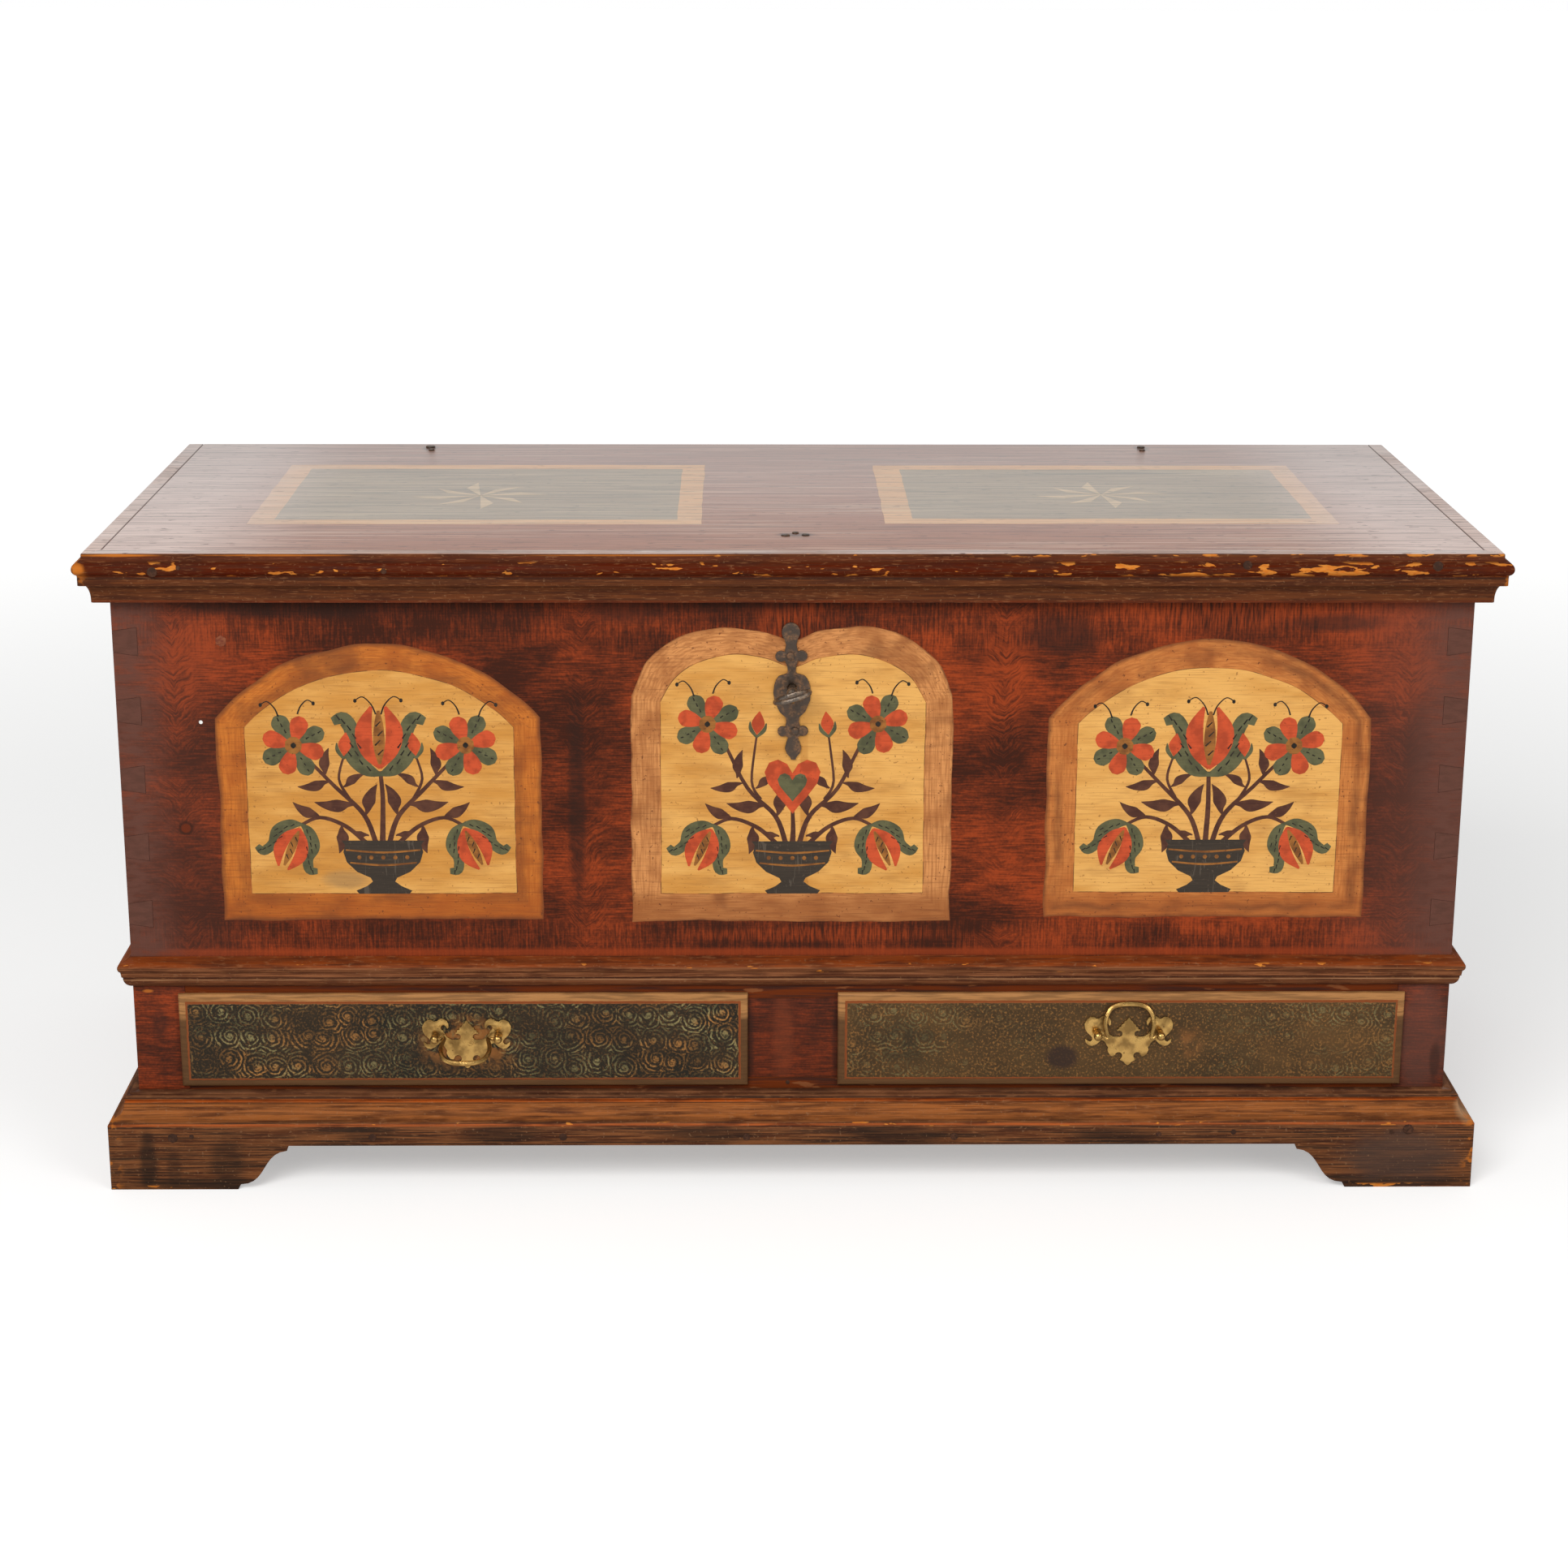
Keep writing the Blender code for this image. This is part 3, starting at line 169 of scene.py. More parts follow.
class Finish(Mixing):
    """A paint, wood or metal: a Principled material that reads Object coordinates."""

    def __init__(self, name, roughness, metallic=0.0, gloss=0.5):
        super().__init__(bpy.data.materials.new(name))
        self.shader = self.tree.nodes["Principled BSDF"]
        self.shader.inputs["Roughness"].default_value = roughness
        self.shader.inputs["Metallic"].default_value = metallic
        self.shader.inputs["Specular IOR Level"].default_value = gloss
        self.place = self.add("TexCoord").outputs["Object"]
        self.x, self.y, self.z = self.add("SeparateXYZ", {0: self.place}).outputs
        self.out = self.maths("ABSOLUTE", self.x)

    def noise(self, waves, move=0.0, detail=3.0, smear=0.0, place=None):
        """Noise about a half; its waves are alike each way, or given along X, Y and Z."""
        waves = waves if isinstance(waves, tuple) else (waves, waves, waves)
        scaled = self.add("VectorMath", {0: place or self.place, 1: waves, 2: (move, move, move)},
                          operation="MULTIPLY_ADD").outputs[0]
        return self.add("TexNoise", {"Vector": scaled, "Scale": 1.0, "Detail": detail,
                                     "Distortion": smear}).outputs[0]

    def mottle(self, waves, low, high, move=0.0, detail=3.0, smear=0.0, place=None):
        """Noise turned into soft patches: nothing below one value, all above another."""
        return self.step(self.noise(waves, move, detail, smear, place), low, high)

    def both(self, first, second):
        return self.maths("MULTIPLY", first, second)

    def plus(self, base, part, weight):
        """A number with part of another added."""
        return self.maths("MULTIPLY_ADD", part, weight, base)

    def minus(self, first, second):
        return self.maths("SUBTRACT", first, second)

    def between(self, value, low, high, soft):
        """One where a value lies between two others, with soft ends."""
        rise = self.step(value, low - soft, low + soft)
        return self.both(rise, self.step(value, high + soft, high - soft))

    def blend(self, share, first, second):
        """A colour part of the way from one to another."""
        return self.add("Mix", {0: share, 6: first, 7: second}, data_type="RGBA").outputs[2]

    def over(self, tone, mask, share, colour):
        """A tone with a share of a colour laid over it where a mask shows."""
        return self.blend(self.both(mask, share), tone, colour)

    def spot(self, centre, reach, soft=0.6, ragged=0.5, flat=False):
        """A ragged patch seen from the front, or from above: one at its centre, nothing past
        its reach."""
        middle, shrink = (centre[0], 0, centre[1]), (1 / reach[0], 0, 1 / reach[1])
        if flat:
            middle, shrink = (*centre, 0), (1 / reach[0], 1 / reach[1], 0)
        offset = self.add("VectorMath", {0: self.place, 1: middle}, operation="SUBTRACT").outputs[0]
        shares = self.add("VectorMath", {0: offset, 1: shrink}, operation="MULTIPLY").outputs[0]
        away = self.add("VectorMath", {0: shares}, operation="LENGTH").outputs["Value"]
        frayed = self.plus(away, self.noise((45, 45, 90), centre[0]), ragged)
        return self.step(frayed, 1 + ragged / 2, 1 + ragged / 2 - soft)

    def marked(self, tone, marks, within=None, **edge):
        """A tone with ragged spots over it, each a centre, reach, colour and share."""
        for centre, reach, colour, share in marks:
            mask = self.spot(centre, reach, **edge)
            if within is not None:
                mask = self.both(mask, within)
            tone = self.over(tone, mask, share, colour)
        return tone

    def colour(self, value):
        self.tree.links.new(value, self.shader.inputs["Base Color"])

    def rough(self, value):
        self.tree.links.new(value, self.shader.inputs["Roughness"])

    def shine(self, value):
        self.tree.links.new(value, self.shader.inputs["Specular IOR Level"])

    def relief(self, height, distance):
        """Raise the surface by a height from 0 to 1, times a distance."""
        bump = self.add("Bump", {"Height": height, "Distance": distance, "Strength": 1.0})
        self.tree.links.new(bump.outputs[0], self.shader.inputs["Normal"])

    def combed(self, upright, feathered, from_spine):
        """Short strokes left by the comb: level, or upright, or like a feather by a spine."""
        level_strokes = self.mottle((48, 48, 560), 0.32, 0.68, 1.0, smear=0.4)
        upright_strokes = self.mottle((480, 480, 42), 0.32, 0.68, 2.0, smear=0.4)
        folded = self.add("CombineXYZ", {0: from_spine, 2: self.z}).outputs[0]
        leaning = self.add("VectorRotate", {"Vector": folded, "Angle": 0.75},
                           rotation_type="Y_AXIS").outputs[0]
        slanting_strokes = self.mottle((52, 1, 460), 0.34, 0.66, 3.0, smear=0.4, place=leaning)
        strokes = self.choose(upright, level_strokes, upright_strokes)
        return self.choose(feathered, strokes, slanting_strokes)


def coat(finish, *names):
    """Give CAD solids a finish."""
    for name in names:
        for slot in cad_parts[name].material_slots:
            slot.material = finish.holder


maroon = (0.046, 0.014, 0.008)
old_red = (0.140, 0.027, 0.010)
orange_red = (0.310, 0.050, 0.013)
corner_brown = (0.122, 0.050, 0.036)
# A dark colour for smudges, and for painted shade in gaps, quirks and under edges.
smoke_and_shade = (0.030, 0.014, 0.010)
inside_pale, inside_dark = (0.430, 0.245, 0.112), (0.250, 0.122, 0.050)
across_grain = (3, 45, 45)
deep_grain = (45, 3, 45)


def comb_tone(paint, strokes, wash):
    """Dark paint with the strokes of the comb in it, redder where the wash is thin."""
    level = paint.both(wash, 0.45)
    for part, weight in ((strokes, 0.36), (paint.noise((26, 26, 44), 6.5, detail=4.0), 0.90),
                         (paint.noise(430, 7.0, detail=1.0), 0.42),
                         (paint.noise((16, 16, 900), 5.0, detail=2.0), 0.35)):
        level = paint.maths("ADD", level, paint.plus(-weight / 2, part, weight))
    tone = paint.blend(paint.step(level, -0.15, 0.42), maroon, old_red)
    tone = paint.blend(paint.step(level, 0.22, 0.78), tone, orange_red)
    paint.relief(paint.plus(paint.noise((14, 14, 700), 5.5), strokes, 0.3), 0.00020)
    paint.rough(paint.choose(strokes, 0.45, 0.58))
    return tone


def wood_tone(paint, pale, dark, waves):
    """Old bare softwood, yellowed, with its grain along one axis; and its fibres' height."""
    grown = paint.noise(tuple(wave * 0.3 for wave in waves), 1.0, detail=1.5)
    rings = paint.step(paint.maths("SINE", paint.both(grown, 85.0)), -0.5, 1.0)
    cloudy = paint.mottle(tuple(wave * 0.6 for wave in waves), 0.36, 0.68, 8.0, detail=5.0)
    fibres = paint.noise(tuple(wave * 8 for wave in waves), 3.0, detail=4.0)
    tone = paint.blend(paint.plus(paint.both(rings, 0.55), cloudy, 0.45), pale, dark)
    tone = paint.over(tone, paint.step(fibres, 0.46, 0.66), 0.40, dark)
    stain = paint.mottle((7, 7, 9), 0.54, 0.72, 6.0, detail=6.0)
    return paint.over(tone, stain, 0.45, tuple(value * 0.55 for value in dark)), fibres


# The front board.  The comb went upright over the arches and under the panels, and like a
# feather beside them; smoke and hands have darkened it in patches, and it is brown at its ends.
# The dark strips just under the lid moulding are painted shadow.  It is painted out over its
# tails, and bare within.
arches_top = (0.575, 0.595)
panels_foot = (0.293, 0.284)
panel_spacing, spine_spacing = 0.4075, 0.2000
spine_reach = (0.048, 0.030)
strip_low, strip_high, strip_soft = 0.2415, 0.2490, 0.0025
paint_depth, wood_depth = 0.0020, 0.0050
tail_paint, tail_wood = 0.0008, 0.0030
lit_places = (((-0.003, 0.590), (0.050, 0.040)), ((0.205, 0.530), (0.040, 0.070)),
              ((-0.600, 0.545), (0.035, 0.070)), ((0.430, 0.598), (0.190, 0.026)),
              ((0.020, 0.264), (0.180, 0.010)))
smudge_and_shadow_places = (((0.262, 0.572), (0.055, 0.024)), ((0.530, 0.585), (0.070, 0.012)),
              ((0.618, 0.460), (0.022, 0.060)), ((-0.055, 0.612), (0.120, 0.022)),
              ((-0.470, 0.602), (0.170, 0.016)), ((-0.215, 0.400), (0.012, 0.150)),
              ((-0.165, 0.600), (0.060, 0.020)))
old_plug = (-0.603, 0.3760)
fly_white = (0.800, 0.780, 0.740)
front_paint = Finish("front_board_paint", 0.5, gloss=0.04)
front_wobble = front_paint.noise(14, 4.0)
upright_share = front_paint.maths(
    "MAXIMUM", front_paint.step(front_paint.plus(front_paint.z, front_wobble, 0.05), *arches_top),
    front_paint.step(front_paint.plus(front_paint.z, front_wobble, 0.02), *panels_foot))
spine_offset = front_paint.maths("ABSOLUTE", front_paint.minus(
    front_paint.maths("ABSOLUTE", front_paint.minus(front_paint.out, panel_spacing)),
    spine_spacing))
spine_share = front_paint.both(
    front_paint.step(front_paint.plus(spine_offset, front_wobble, 0.04), *spine_reach),
    front_paint.mottle((16, 16, 30), 0.36, 0.56, 9.0))
spine_offset = front_paint.plus(spine_offset, front_paint.noise(40, 2.5), 0.030)
front_strokes = front_paint.combed(upright_share, spine_share, spine_offset)
front_wash = front_paint.plus(front_paint.noise((5, 5, 9), 2.0, detail=4.0),
                              front_paint.step(front_paint.x, -0.15, 0.30), 0.06)
front_tone = comb_tone(front_paint, front_strokes, front_paint.step(front_wash, 0.36, 0.66))
foot_strip = front_paint.between(front_paint.z, strip_low, strip_high, strip_soft)
front_tone = front_paint.over(front_tone, foot_strip, 0.6, orange_red)
front_tone = front_paint.marked(
    front_tone, [(*place, orange_red, 0.65) for place in lit_places], front_strokes)
# Dark patches: smudges, and in strips just under the lid moulding, painted shadow.
front_tone = front_paint.marked(front_tone, [(*place, smoke_and_shade, 0.70) for place in smudge_and_shadow_places])
more_right = front_paint.plus(0.25, front_paint.step(front_paint.x, -0.1, 0.1), 0.25)
browned = front_paint.both(front_paint.step(front_paint.out, 0.50, 0.64), more_right)
front_tone = front_paint.blend(browned, front_tone, corner_brown)
corner = front_paint.step(front_paint.plus(front_paint.out, front_wobble, 0.03),
                          case_half - 0.046, case_half + 0.002)
corner = front_paint.both(corner, front_paint.plus(
    0.45, front_paint.mottle((60, 60, 160), 0.34, 0.60, 1.5, detail=5.0), 0.45))
front_tone = front_paint.blend(corner, front_tone, corner_brown)
front_tone = front_paint.marked(
    front_tone, (((-0.583, 0.485), (0.0022, 0.0022), fly_white, 1.0),
                 (old_plug, (0.0085, 0.0085), smoke_and_shade, 0.7),
                 (old_plug, (0.0055, 0.0055), old_red, 0.8)), soft=0.3, ragged=0.15)
short_of_ends = front_paint.step(front_paint.out, case_half - tail_paint, case_half - tail_wood)
front_inside = front_paint.both(
    front_paint.step(front_paint.y, face_y + paint_depth, face_y + wood_depth), short_of_ends)
front_wood, _ = wood_tone(front_paint, inside_pale, inside_dark, across_grain)
front_paint.colour(front_paint.blend(front_inside, front_tone, front_wood))
coat(front_paint, "front_board")

# The side boards are combed in the same paint.  The end grain of their pins shows at the four
# corners between the tails, and takes the paint darker.
pin_pale, pin_dark = (0.116, 0.047, 0.033), (0.096, 0.040, 0.028)
side_paint = Finish("side_board_paint", 0.5, gloss=0.07)
side_strokes = side_paint.combed(
    side_paint.mottle(5, 0.52, 0.56, 8.0), side_paint.mottle(6, 0.50, 0.56, 6.0),
    side_paint.maths("ABSOLUTE", side_paint.y))
side_tone = comb_tone(side_paint, side_strokes, side_paint.mottle((4, 4, 7), 0.40, 0.66, 9.0, 4.0))
from_corner = side_paint.maths("MINIMUM", side_paint.minus(side_paint.y, face_y),
                               side_paint.minus(back_y, side_paint.y))
pin_tone = side_paint.blend(side_paint.mottle((90, 90, 200), 0.35, 0.7, detail=2.0),
                            pin_pale, pin_dark)
end_grain = side_paint.step(from_corner, tail_wood, tail_paint)
side_tone = side_paint.blend(end_grain, side_tone, pin_tone)
side_inside = side_paint.both(
    side_paint.step(side_paint.out, case_half - paint_depth, case_half - wood_depth),
    side_paint.step(from_corner, paint_depth, wood_depth))
side_wood, _ = wood_tone(side_paint, inside_pale, inside_dark, deep_grain)
side_paint.colour(side_paint.blend(side_inside, side_tone, side_wood))
coat(side_paint, "left_side_board", "right_side_board")

# The back board stood against a wall, and had only a thin streaky wash of red over the wood,
# which has gone grey-brown.
aged_pale, aged_dark = (0.165, 0.086, 0.044), (0.078, 0.038, 0.022)
red_wash = (0.095, 0.022, 0.010)
back_edge_brown = (0.090, 0.036, 0.024)
back_paint = Finish("back_board_wash", 0.6, gloss=0.10)
back_wood, _ = wood_tone(back_paint, inside_pale, inside_dark, across_grain)
back_tone, _ = wood_tone(back_paint, aged_pale, aged_dark, (2.5, 38, 38))
washed = back_paint.both(back_paint.mottle((9, 9, 330), 0.40, 0.62, 2.0, detail=6.0),
                         back_paint.mottle((4, 4, 12), 0.34, 0.56, 7.0, detail=6.0))
back_tone = back_paint.over(back_tone, washed, 0.75, red_wash)
back_ends = back_paint.step(back_paint.out, case_half - tail_wood, case_half - tail_paint)
back_tone = back_paint.over(back_tone, back_ends, 0.85, back_edge_brown)
back_inside = back_paint.both(
    back_paint.step(back_paint.y, back_y - paint_depth, back_y - wood_depth),
    back_paint.step(back_paint.out, case_half - tail_paint, case_half - tail_wood))
back_paint.colour(back_paint.blend(back_inside, back_tone, back_wood))
back_paint.relief(back_paint.noise((9, 9, 420), 3.0), 0.0004)
coat(back_paint, "back_board")

# A peg fills an old hole by the left panel.  It is cut off flush with the front, and its end
# grain shows orange.
peg_place = (-0.5595, 0.5669)
peg_radius, peg_proud, peg_dome = 0.0058, 0.0003, 0.0002
peg_orange = (0.230, 0.066, 0.024)
smooth_angle = math.radians(38)


def pick(piece):
    """Make a piece the only one selected, and the active one."""
    bpy.ops.object.select_all(action="DESELECT")
    piece.select_set(True)
    bpy.context.view_layer.objects.active = piece


def put_away(piece, name, body, finish):
    """Fix a finished piece's place in its mesh, name it, and let it ride on a body."""
    pick(piece)
    bpy.ops.object.transform_apply(location=True, rotation=True, scale=True)
    piece.name = name
    piece.data.name = name
    piece.data.materials.clear()
    piece.data.materials.append(finish.holder)
    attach(piece, body)


def round_edges(piece, width, segments, angle=0.6):
    """Bevel a piece's sharp edges and shade it smooth round them."""
    bevel = piece.modifiers.new("worn_edges", "BEVEL")
    bevel.width = width
    bevel.segments = segments
    bevel.limit_method = "ANGLE"
    bevel.angle_limit = angle
    pick(piece)
    bpy.ops.object.modifier_apply(modifier=bevel.name)
    bpy.ops.object.shade_smooth_by_angle(angle=smooth_angle)


def stud(name, centre, radius, proud, sides, dome, finish, body, turn=facing_front):
    """A peg or a nail head standing a little proud of a surface, with a rounded rim."""
    sunk = 0.0006
    bpy.ops.object.select_all(action="DESELECT")
    bpy.ops.mesh.primitive_cylinder_add(
        vertices=sides, radius=radius, depth=proud + sunk, rotation=turn)
    piece = bpy.context.object
    bpy.ops.object.transform_apply(location=False, rotation=True, scale=False)
    outward = Vector((0, 0, 1))
    outward.rotate(Matrix.Rotation(turn[0], 3, "X"))
    piece.location = Vector(centre) + outward * (proud - sunk) / 2
    round_edges(piece, min(dome, (proud + sunk) * 0.95), 3)
    put_away(piece, name, body, finish)


peg_wood = Finish("peg_end_grain", 0.6, gloss=0.25)
peg_wood.colour(peg_wood.blend(peg_wood.mottle((260, 260, 900), 0.4, 0.6), peg_orange, old_red))
stud("corner_peg", (peg_place[0], face_y, peg_place[1]), peg_radius, peg_proud, 6, peg_dome,
     peg_wood, "case")

# The three arched panels: a cream ground laid on the red, a tan border brushed round it that
# follows the arch, and a thin dark line ruled between the two.
coat_thick = 0.00008
coat_sunk = 0.00005
patches_a_coat = 90
merge_reach = 0.00001
ground_cream = (0.745, 0.395, 0.110)
ground_ochre = (0.550, 0.240, 0.046)
ground_dirt = (0.330, 0.140, 0.036)
drip_ochre = (0.400, 0.150, 0.024)
smear_grey = (0.260, 0.170, 0.080)
line_brown, line_tan = (0.150, 0.062, 0.022), (0.420, 0.150, 0.040)
edge_brown = (0.130, 0.040, 0.016)
line_width = 0.0007
centre_dip = 0.013
outer_shake, inner_shake = 0.0022, 0.0009
hand_seed = 3
noise.seed_set(hand_seed)


def smooth_path(knots, steps):
    """A smooth path that passes through every knot; a knot may have any number of values."""
    path = []
    last = len(knots) - 1
    for index in range(last):
        before, near, far, after = (knots[min(max(index + i, 0), last)] for i in (-1, 0, 1, 2))
        for step in range(steps):
            t = step / steps
            path.append(tuple(
                (2 * b + (c - a) * t + (2 * a - 5 * b + 4 * c - d) * t * t
                 + (3 * b - a - 3 * c + d) * t ** 3) / 2
                for a, b, c, d in zip(before, near, far, after)))
    return path + [tuple(knots[last])]


def straight(start, end, steps):
    """Points along a straight line, without its end."""
    return [tuple(Vector(start).lerp(Vector(end), step / steps)) for step in range(steps)]


def unsteady(points, reach):
    """Move points a little, as an unsteady hand does."""
    shaken = []
    for u, v in points:
        shake = noise.noise_vector(Vector((u * 30, v * 30, reach * 1000)))
        shaken.append((u + shake.x * reach, v + shake.y * reach))
    return shaken


def arch(left, right, low, shoulder, top):
    """An arch's outline from its lower left corner round to its lower right, then back."""
    over = smooth_path([(left, shoulder), *top, (right, shoulder)], 8)
    return (straight((left, low), (left, shoulder), 16) + over
            + straight((right, shoulder), (right, low), 16)[1:]
            + straight((right, low), (left, low), 24))


def single_top(left, right, shoulder, crown):
    """Knots over a single arch, part of a circle."""
    half = (right - left) / 2
    middle = (left + right) / 2
    rise = crown - shoulder
    radius = (half * half + rise * rise) / (2 * rise)
    return [(middle + half * share, crown - radius + math.sqrt(radius ** 2 - (share * half) ** 2))
            for share in (-0.86, -0.6, -0.3, 0, 0.3, 0.6, 0.86)]


def double_top(left, right, shoulder, crown, valley):
    """Knots over an arch with two lobes that meet in a shallow valley."""
    half = (right - left) / 2
    middle = (left + right) / 2
    dip = crown - valley
    rise = crown - shoulder
    right_side = [(0.20, -dip * 0.30), (0.45, 0), (0.70, -rise * 0.15), (0.89, -rise * 0.50)]
    knots = [(middle + half * share, crown + drop) for share, drop in right_side]
    return [(2 * middle - u, v) for u, v in reversed(knots)] + [(middle, valley)] + knots


def raise_flat(lift):
    """Extrude all of a flat mesh by a height, and turn its faces outwards."""
    bpy.ops.mesh.extrude_region_move(TRANSFORM_OT_translate={"value": (0, 0, lift)})
    bpy.ops.mesh.select_all(action="SELECT")
    bpy.ops.mesh.normals_make_consistent(inside=False)
    bpy.ops.object.mode_set(mode="OBJECT")


def film(name, outlines, proud, finish, body, slot, place, turn):
    """Patches of paint, each a flat outline raised a coat's thickness off its board."""
    patches = []
    for number, outline in enumerate(outlines):
        bpy.ops.object.select_all(action="DESELECT")
        bpy.ops.mesh.primitive_circle_add(vertices=len(outline), fill_type="NGON")
        patch = bpy.context.object
        for vertex, (u, v) in zip(patch.data.vertices, outline):
            vertex.co = (u, v, -coat_sunk)
        bpy.ops.object.mode_set(mode="EDIT")
        bpy.ops.mesh.select_all(action="SELECT")
        raise_flat(coat_sunk + proud + number * coat_thick / patches_a_coat)
        patches.append(patch)
    for patch in patches:
        patch.select_set(True)
    bpy.ops.object.join()
    piece = bpy.context.object
    piece.location = place
    piece.rotation_euler = turn
    put_away(piece, name, body, finish)


def border(name, outer, inner, proud, finish, body, slot, place, turn):
    """A band of paint between two outlines; its map runs along it and across it."""
    rows = 5
    along = len(outer)
    bpy.ops.object.select_all(action="DESELECT")
    bpy.ops.mesh.primitive_grid_add(x_subdivisions=along, y_subdivisions=rows)
    piece = bpy.context.object
    for row in range(rows + 1):
        for column in range(along + 1):
            low, high = Vector(outer[column % along]), Vector(inner[column % along])
            vertex = piece.data.vertices[row * (along + 1) + column]
            vertex.co = (*low.lerp(high, row / rows), -coat_sunk)
    bpy.ops.object.mode_set(mode="EDIT")
    bpy.ops.mesh.select_all(action="SELECT")
    bpy.ops.mesh.remove_doubles(threshold=merge_reach)
    raise_flat(coat_sunk + proud)
    piece.location = place
    piece.rotation_euler = turn
    put_away(piece, name, body, finish)


def aged(paint, tone, dirt, strength):
    """Specks, fine cracks along the grain and a little grime over a coat of paint."""
    grain = paint.noise((26, 26, 620), 4.0, detail=4.0)
    tone = paint.over(tone, paint.step(grain, 0.46, 0.72), strength, dirt)
    tone = paint.over(tone, paint.mottle(330, 0.67, 0.73, 6.0, detail=2.0), 0.8, dirt)
    grime = paint.mottle((24, 24, 60), 0.52, 0.72, 8.0, detail=4.0)
    tone = paint.over(tone, grime, strength * 0.7, dirt)
    paint.relief(grain, 0.00025)
    return tone


cream = Finish("panel_ground_paint", 0.5, gloss=0.10)
cream_light = cream.plus(cream.noise((14, 14, 50), 1.0, detail=4.0),
                         cream.step(cream.x, -0.45, 0.45), 0.23)
cream_tone = cream.blend(cream.step(cream_light, 0.84, 0.30), ground_cream, ground_ochre)
cream_tone = aged(cream, cream_tone, ground_dirt, 0.42)
drip = cream.both(cream.between(cream.x, 0.0065, 0.0140, 0.0012), cream.step(cream.z, 0.50, 0.43))
cream_tone = cream.over(cream_tone, drip, 0.55, drip_ochre)
cream.colour(cream.marked(cream_tone, (((-0.446, 0.322), (0.030, 0.014), smear_grey, 0.5),)))


def border_paint(name, light, deep, band_low, band_high, band_strength, fade):
    """A border's tan paint, with a darker band brushed along part of its width."""
    paint = Finish(name, 0.55, gloss=0.10)
    paint_map = paint.add("TexCoord").outputs["UV"]
    across = paint.add("SeparateXYZ", {0: paint_map}).outputs["Y"]
    brushed = paint.mottle((60, 14, 1), 0.38, 0.66, place=paint_map, detail=5.0)
    tone = paint.over(light, brushed, 0.55, deep)
    tone = paint.over(tone, paint.mottle(30, 0.42, 0.66, 3.0, detail=5.0), 0.60, deep)
    tone = paint.over(tone, paint.step(paint.z, 0.315, 0.295), 0.65, deep)
    wander = paint.plus(paint.minus(across, 0.1), paint.noise(34, 5.0, detail=4.0), 0.5)
    band = paint.both(paint.between(wander, band_low, band_high, 0.16),
                      paint.mottle(14, 0.36, 0.56, 7.0, detail=4.0))
    tone = paint.over(tone, band, band_strength, edge_brown)
    tone = paint.over(tone, paint.mottle(19, 0.56, 0.68, 9.0, detail=4.0), 0.45, edge_brown)
    rim = paint.step(paint.plus(across, paint.noise(70), 0.16), fade, 0.05)
    tone = paint.over(tone, rim, 0.85, edge_brown)
    paint.colour(aged(paint, tone, edge_brown, 0.34))
    return paint


ruled = Finish("panel_line_paint", 0.6, gloss=0.10)
ruled.colour(ruled.blend(ruled.mottle(90, 0.45, 0.60), line_brown, line_tan))
panel_sizes = {
    "left": ((-0.569, -0.250, 0.280, 0.489, 0.564), (-0.541, -0.276, 0.3075, 0.480, 0.538),
             (0.540, 0.165, 0.026), (0.340, 0.082, 0.015), 0.80, 1.3, 0.40, 0.30),
    "centre": ((-0.161, 0.157, 0.278, 0.512, 0.581), (-0.132, 0.130, 0.307, 0.505, 0.554),
               (0.630, 0.270, 0.088), (0.290, 0.092, 0.026), 0.05, 0.20, 0.35, 0.14),
    "right": ((0.251, 0.571, 0.282, 0.488, 0.568), (0.280, 0.5425, 0.308, 0.483, 0.5405),
              (0.560, 0.200, 0.050), (0.350, 0.095, 0.022), 0.44, 0.70, 0.62, 0.26)}
panels = {}
on_front = ("case", "case_paint", (0, face_y, 0), facing_front)
for name, (outer_sizes, inner_sizes, light, deep, *band) in panel_sizes.items():
    rings = []
    for grow, sizes, shake in ((0, outer_sizes, outer_shake), (0, inner_sizes, inner_shake),
                               (-line_width, inner_sizes, inner_shake)):
        left, right, low, shoulder, crown = sizes
        left, right, low, crown = left - grow, right + grow, low - grow, crown + grow
        if name == "centre":
            top = double_top(left, right, shoulder, crown, crown - centre_dip)
        else:
            top = single_top(left, right, shoulder, crown)
        rings.append(unsteady(arch(left, right, low, shoulder, top), shake))
    border(name + "_panel_border", rings[0], rings[1], coat_thick,
           border_paint(name + "_border_paint", light, deep, *band), *on_front)
    border(name + "_panel_line", rings[1], rings[2], coat_thick * 1.25, ruled, *on_front)
    film(name + "_panel_ground", [rings[2]], coat_thick * 1.1, cream, *on_front)
    left, right, low, shoulder, crown = inner_sizes
    panels[name] = ((left + right) / 2, low, (right - left) / 2)

# The nosegays: flowers in a footed bowl, painted freehand on the ground in red, green, ochre
# and brown, and picked out with black.  A stroke's knots give its place and half width.
bowl_black, bowl_dirt = (0.042, 0.032, 0.024), (0.085, 0.060, 0.042)
scratch_grey = (0.150, 0.120, 0.090)
bowl_proud, heart_proud, top_proud = 0.00015, 0.00016, 0.00019
strokes_proud, stroke_rise = 0.00013, 0.00002
thinnest = 0.002
tall_lift = 0.18


def stroke(knots, steps=5):
    """The outline of one stroke of the brush."""
    path = smooth_path(knots, steps)
    left_side, right_side = [], []
    for index, (u, v, half) in enumerate(path):
        before, after = path[max(index - 1, 0)], path[min(index + 1, len(path) - 1)]
        along = Vector((after[0] - before[0], after[1] - before[1])).normalized()
        half = max(half, thinnest)
        left_side.append((u - along.y * half, v + along.x * half))
        right_side.append((u + along.y * half, v - along.x * half))
    return left_side + right_side[::-1]


def disc(u, v, radius, sides=14):
    """A round dab."""
    return [(u + radius * math.cos(math.tau * side / sides),
             v + radius * math.sin(math.tau * side / sides)) for side in range(sides)]


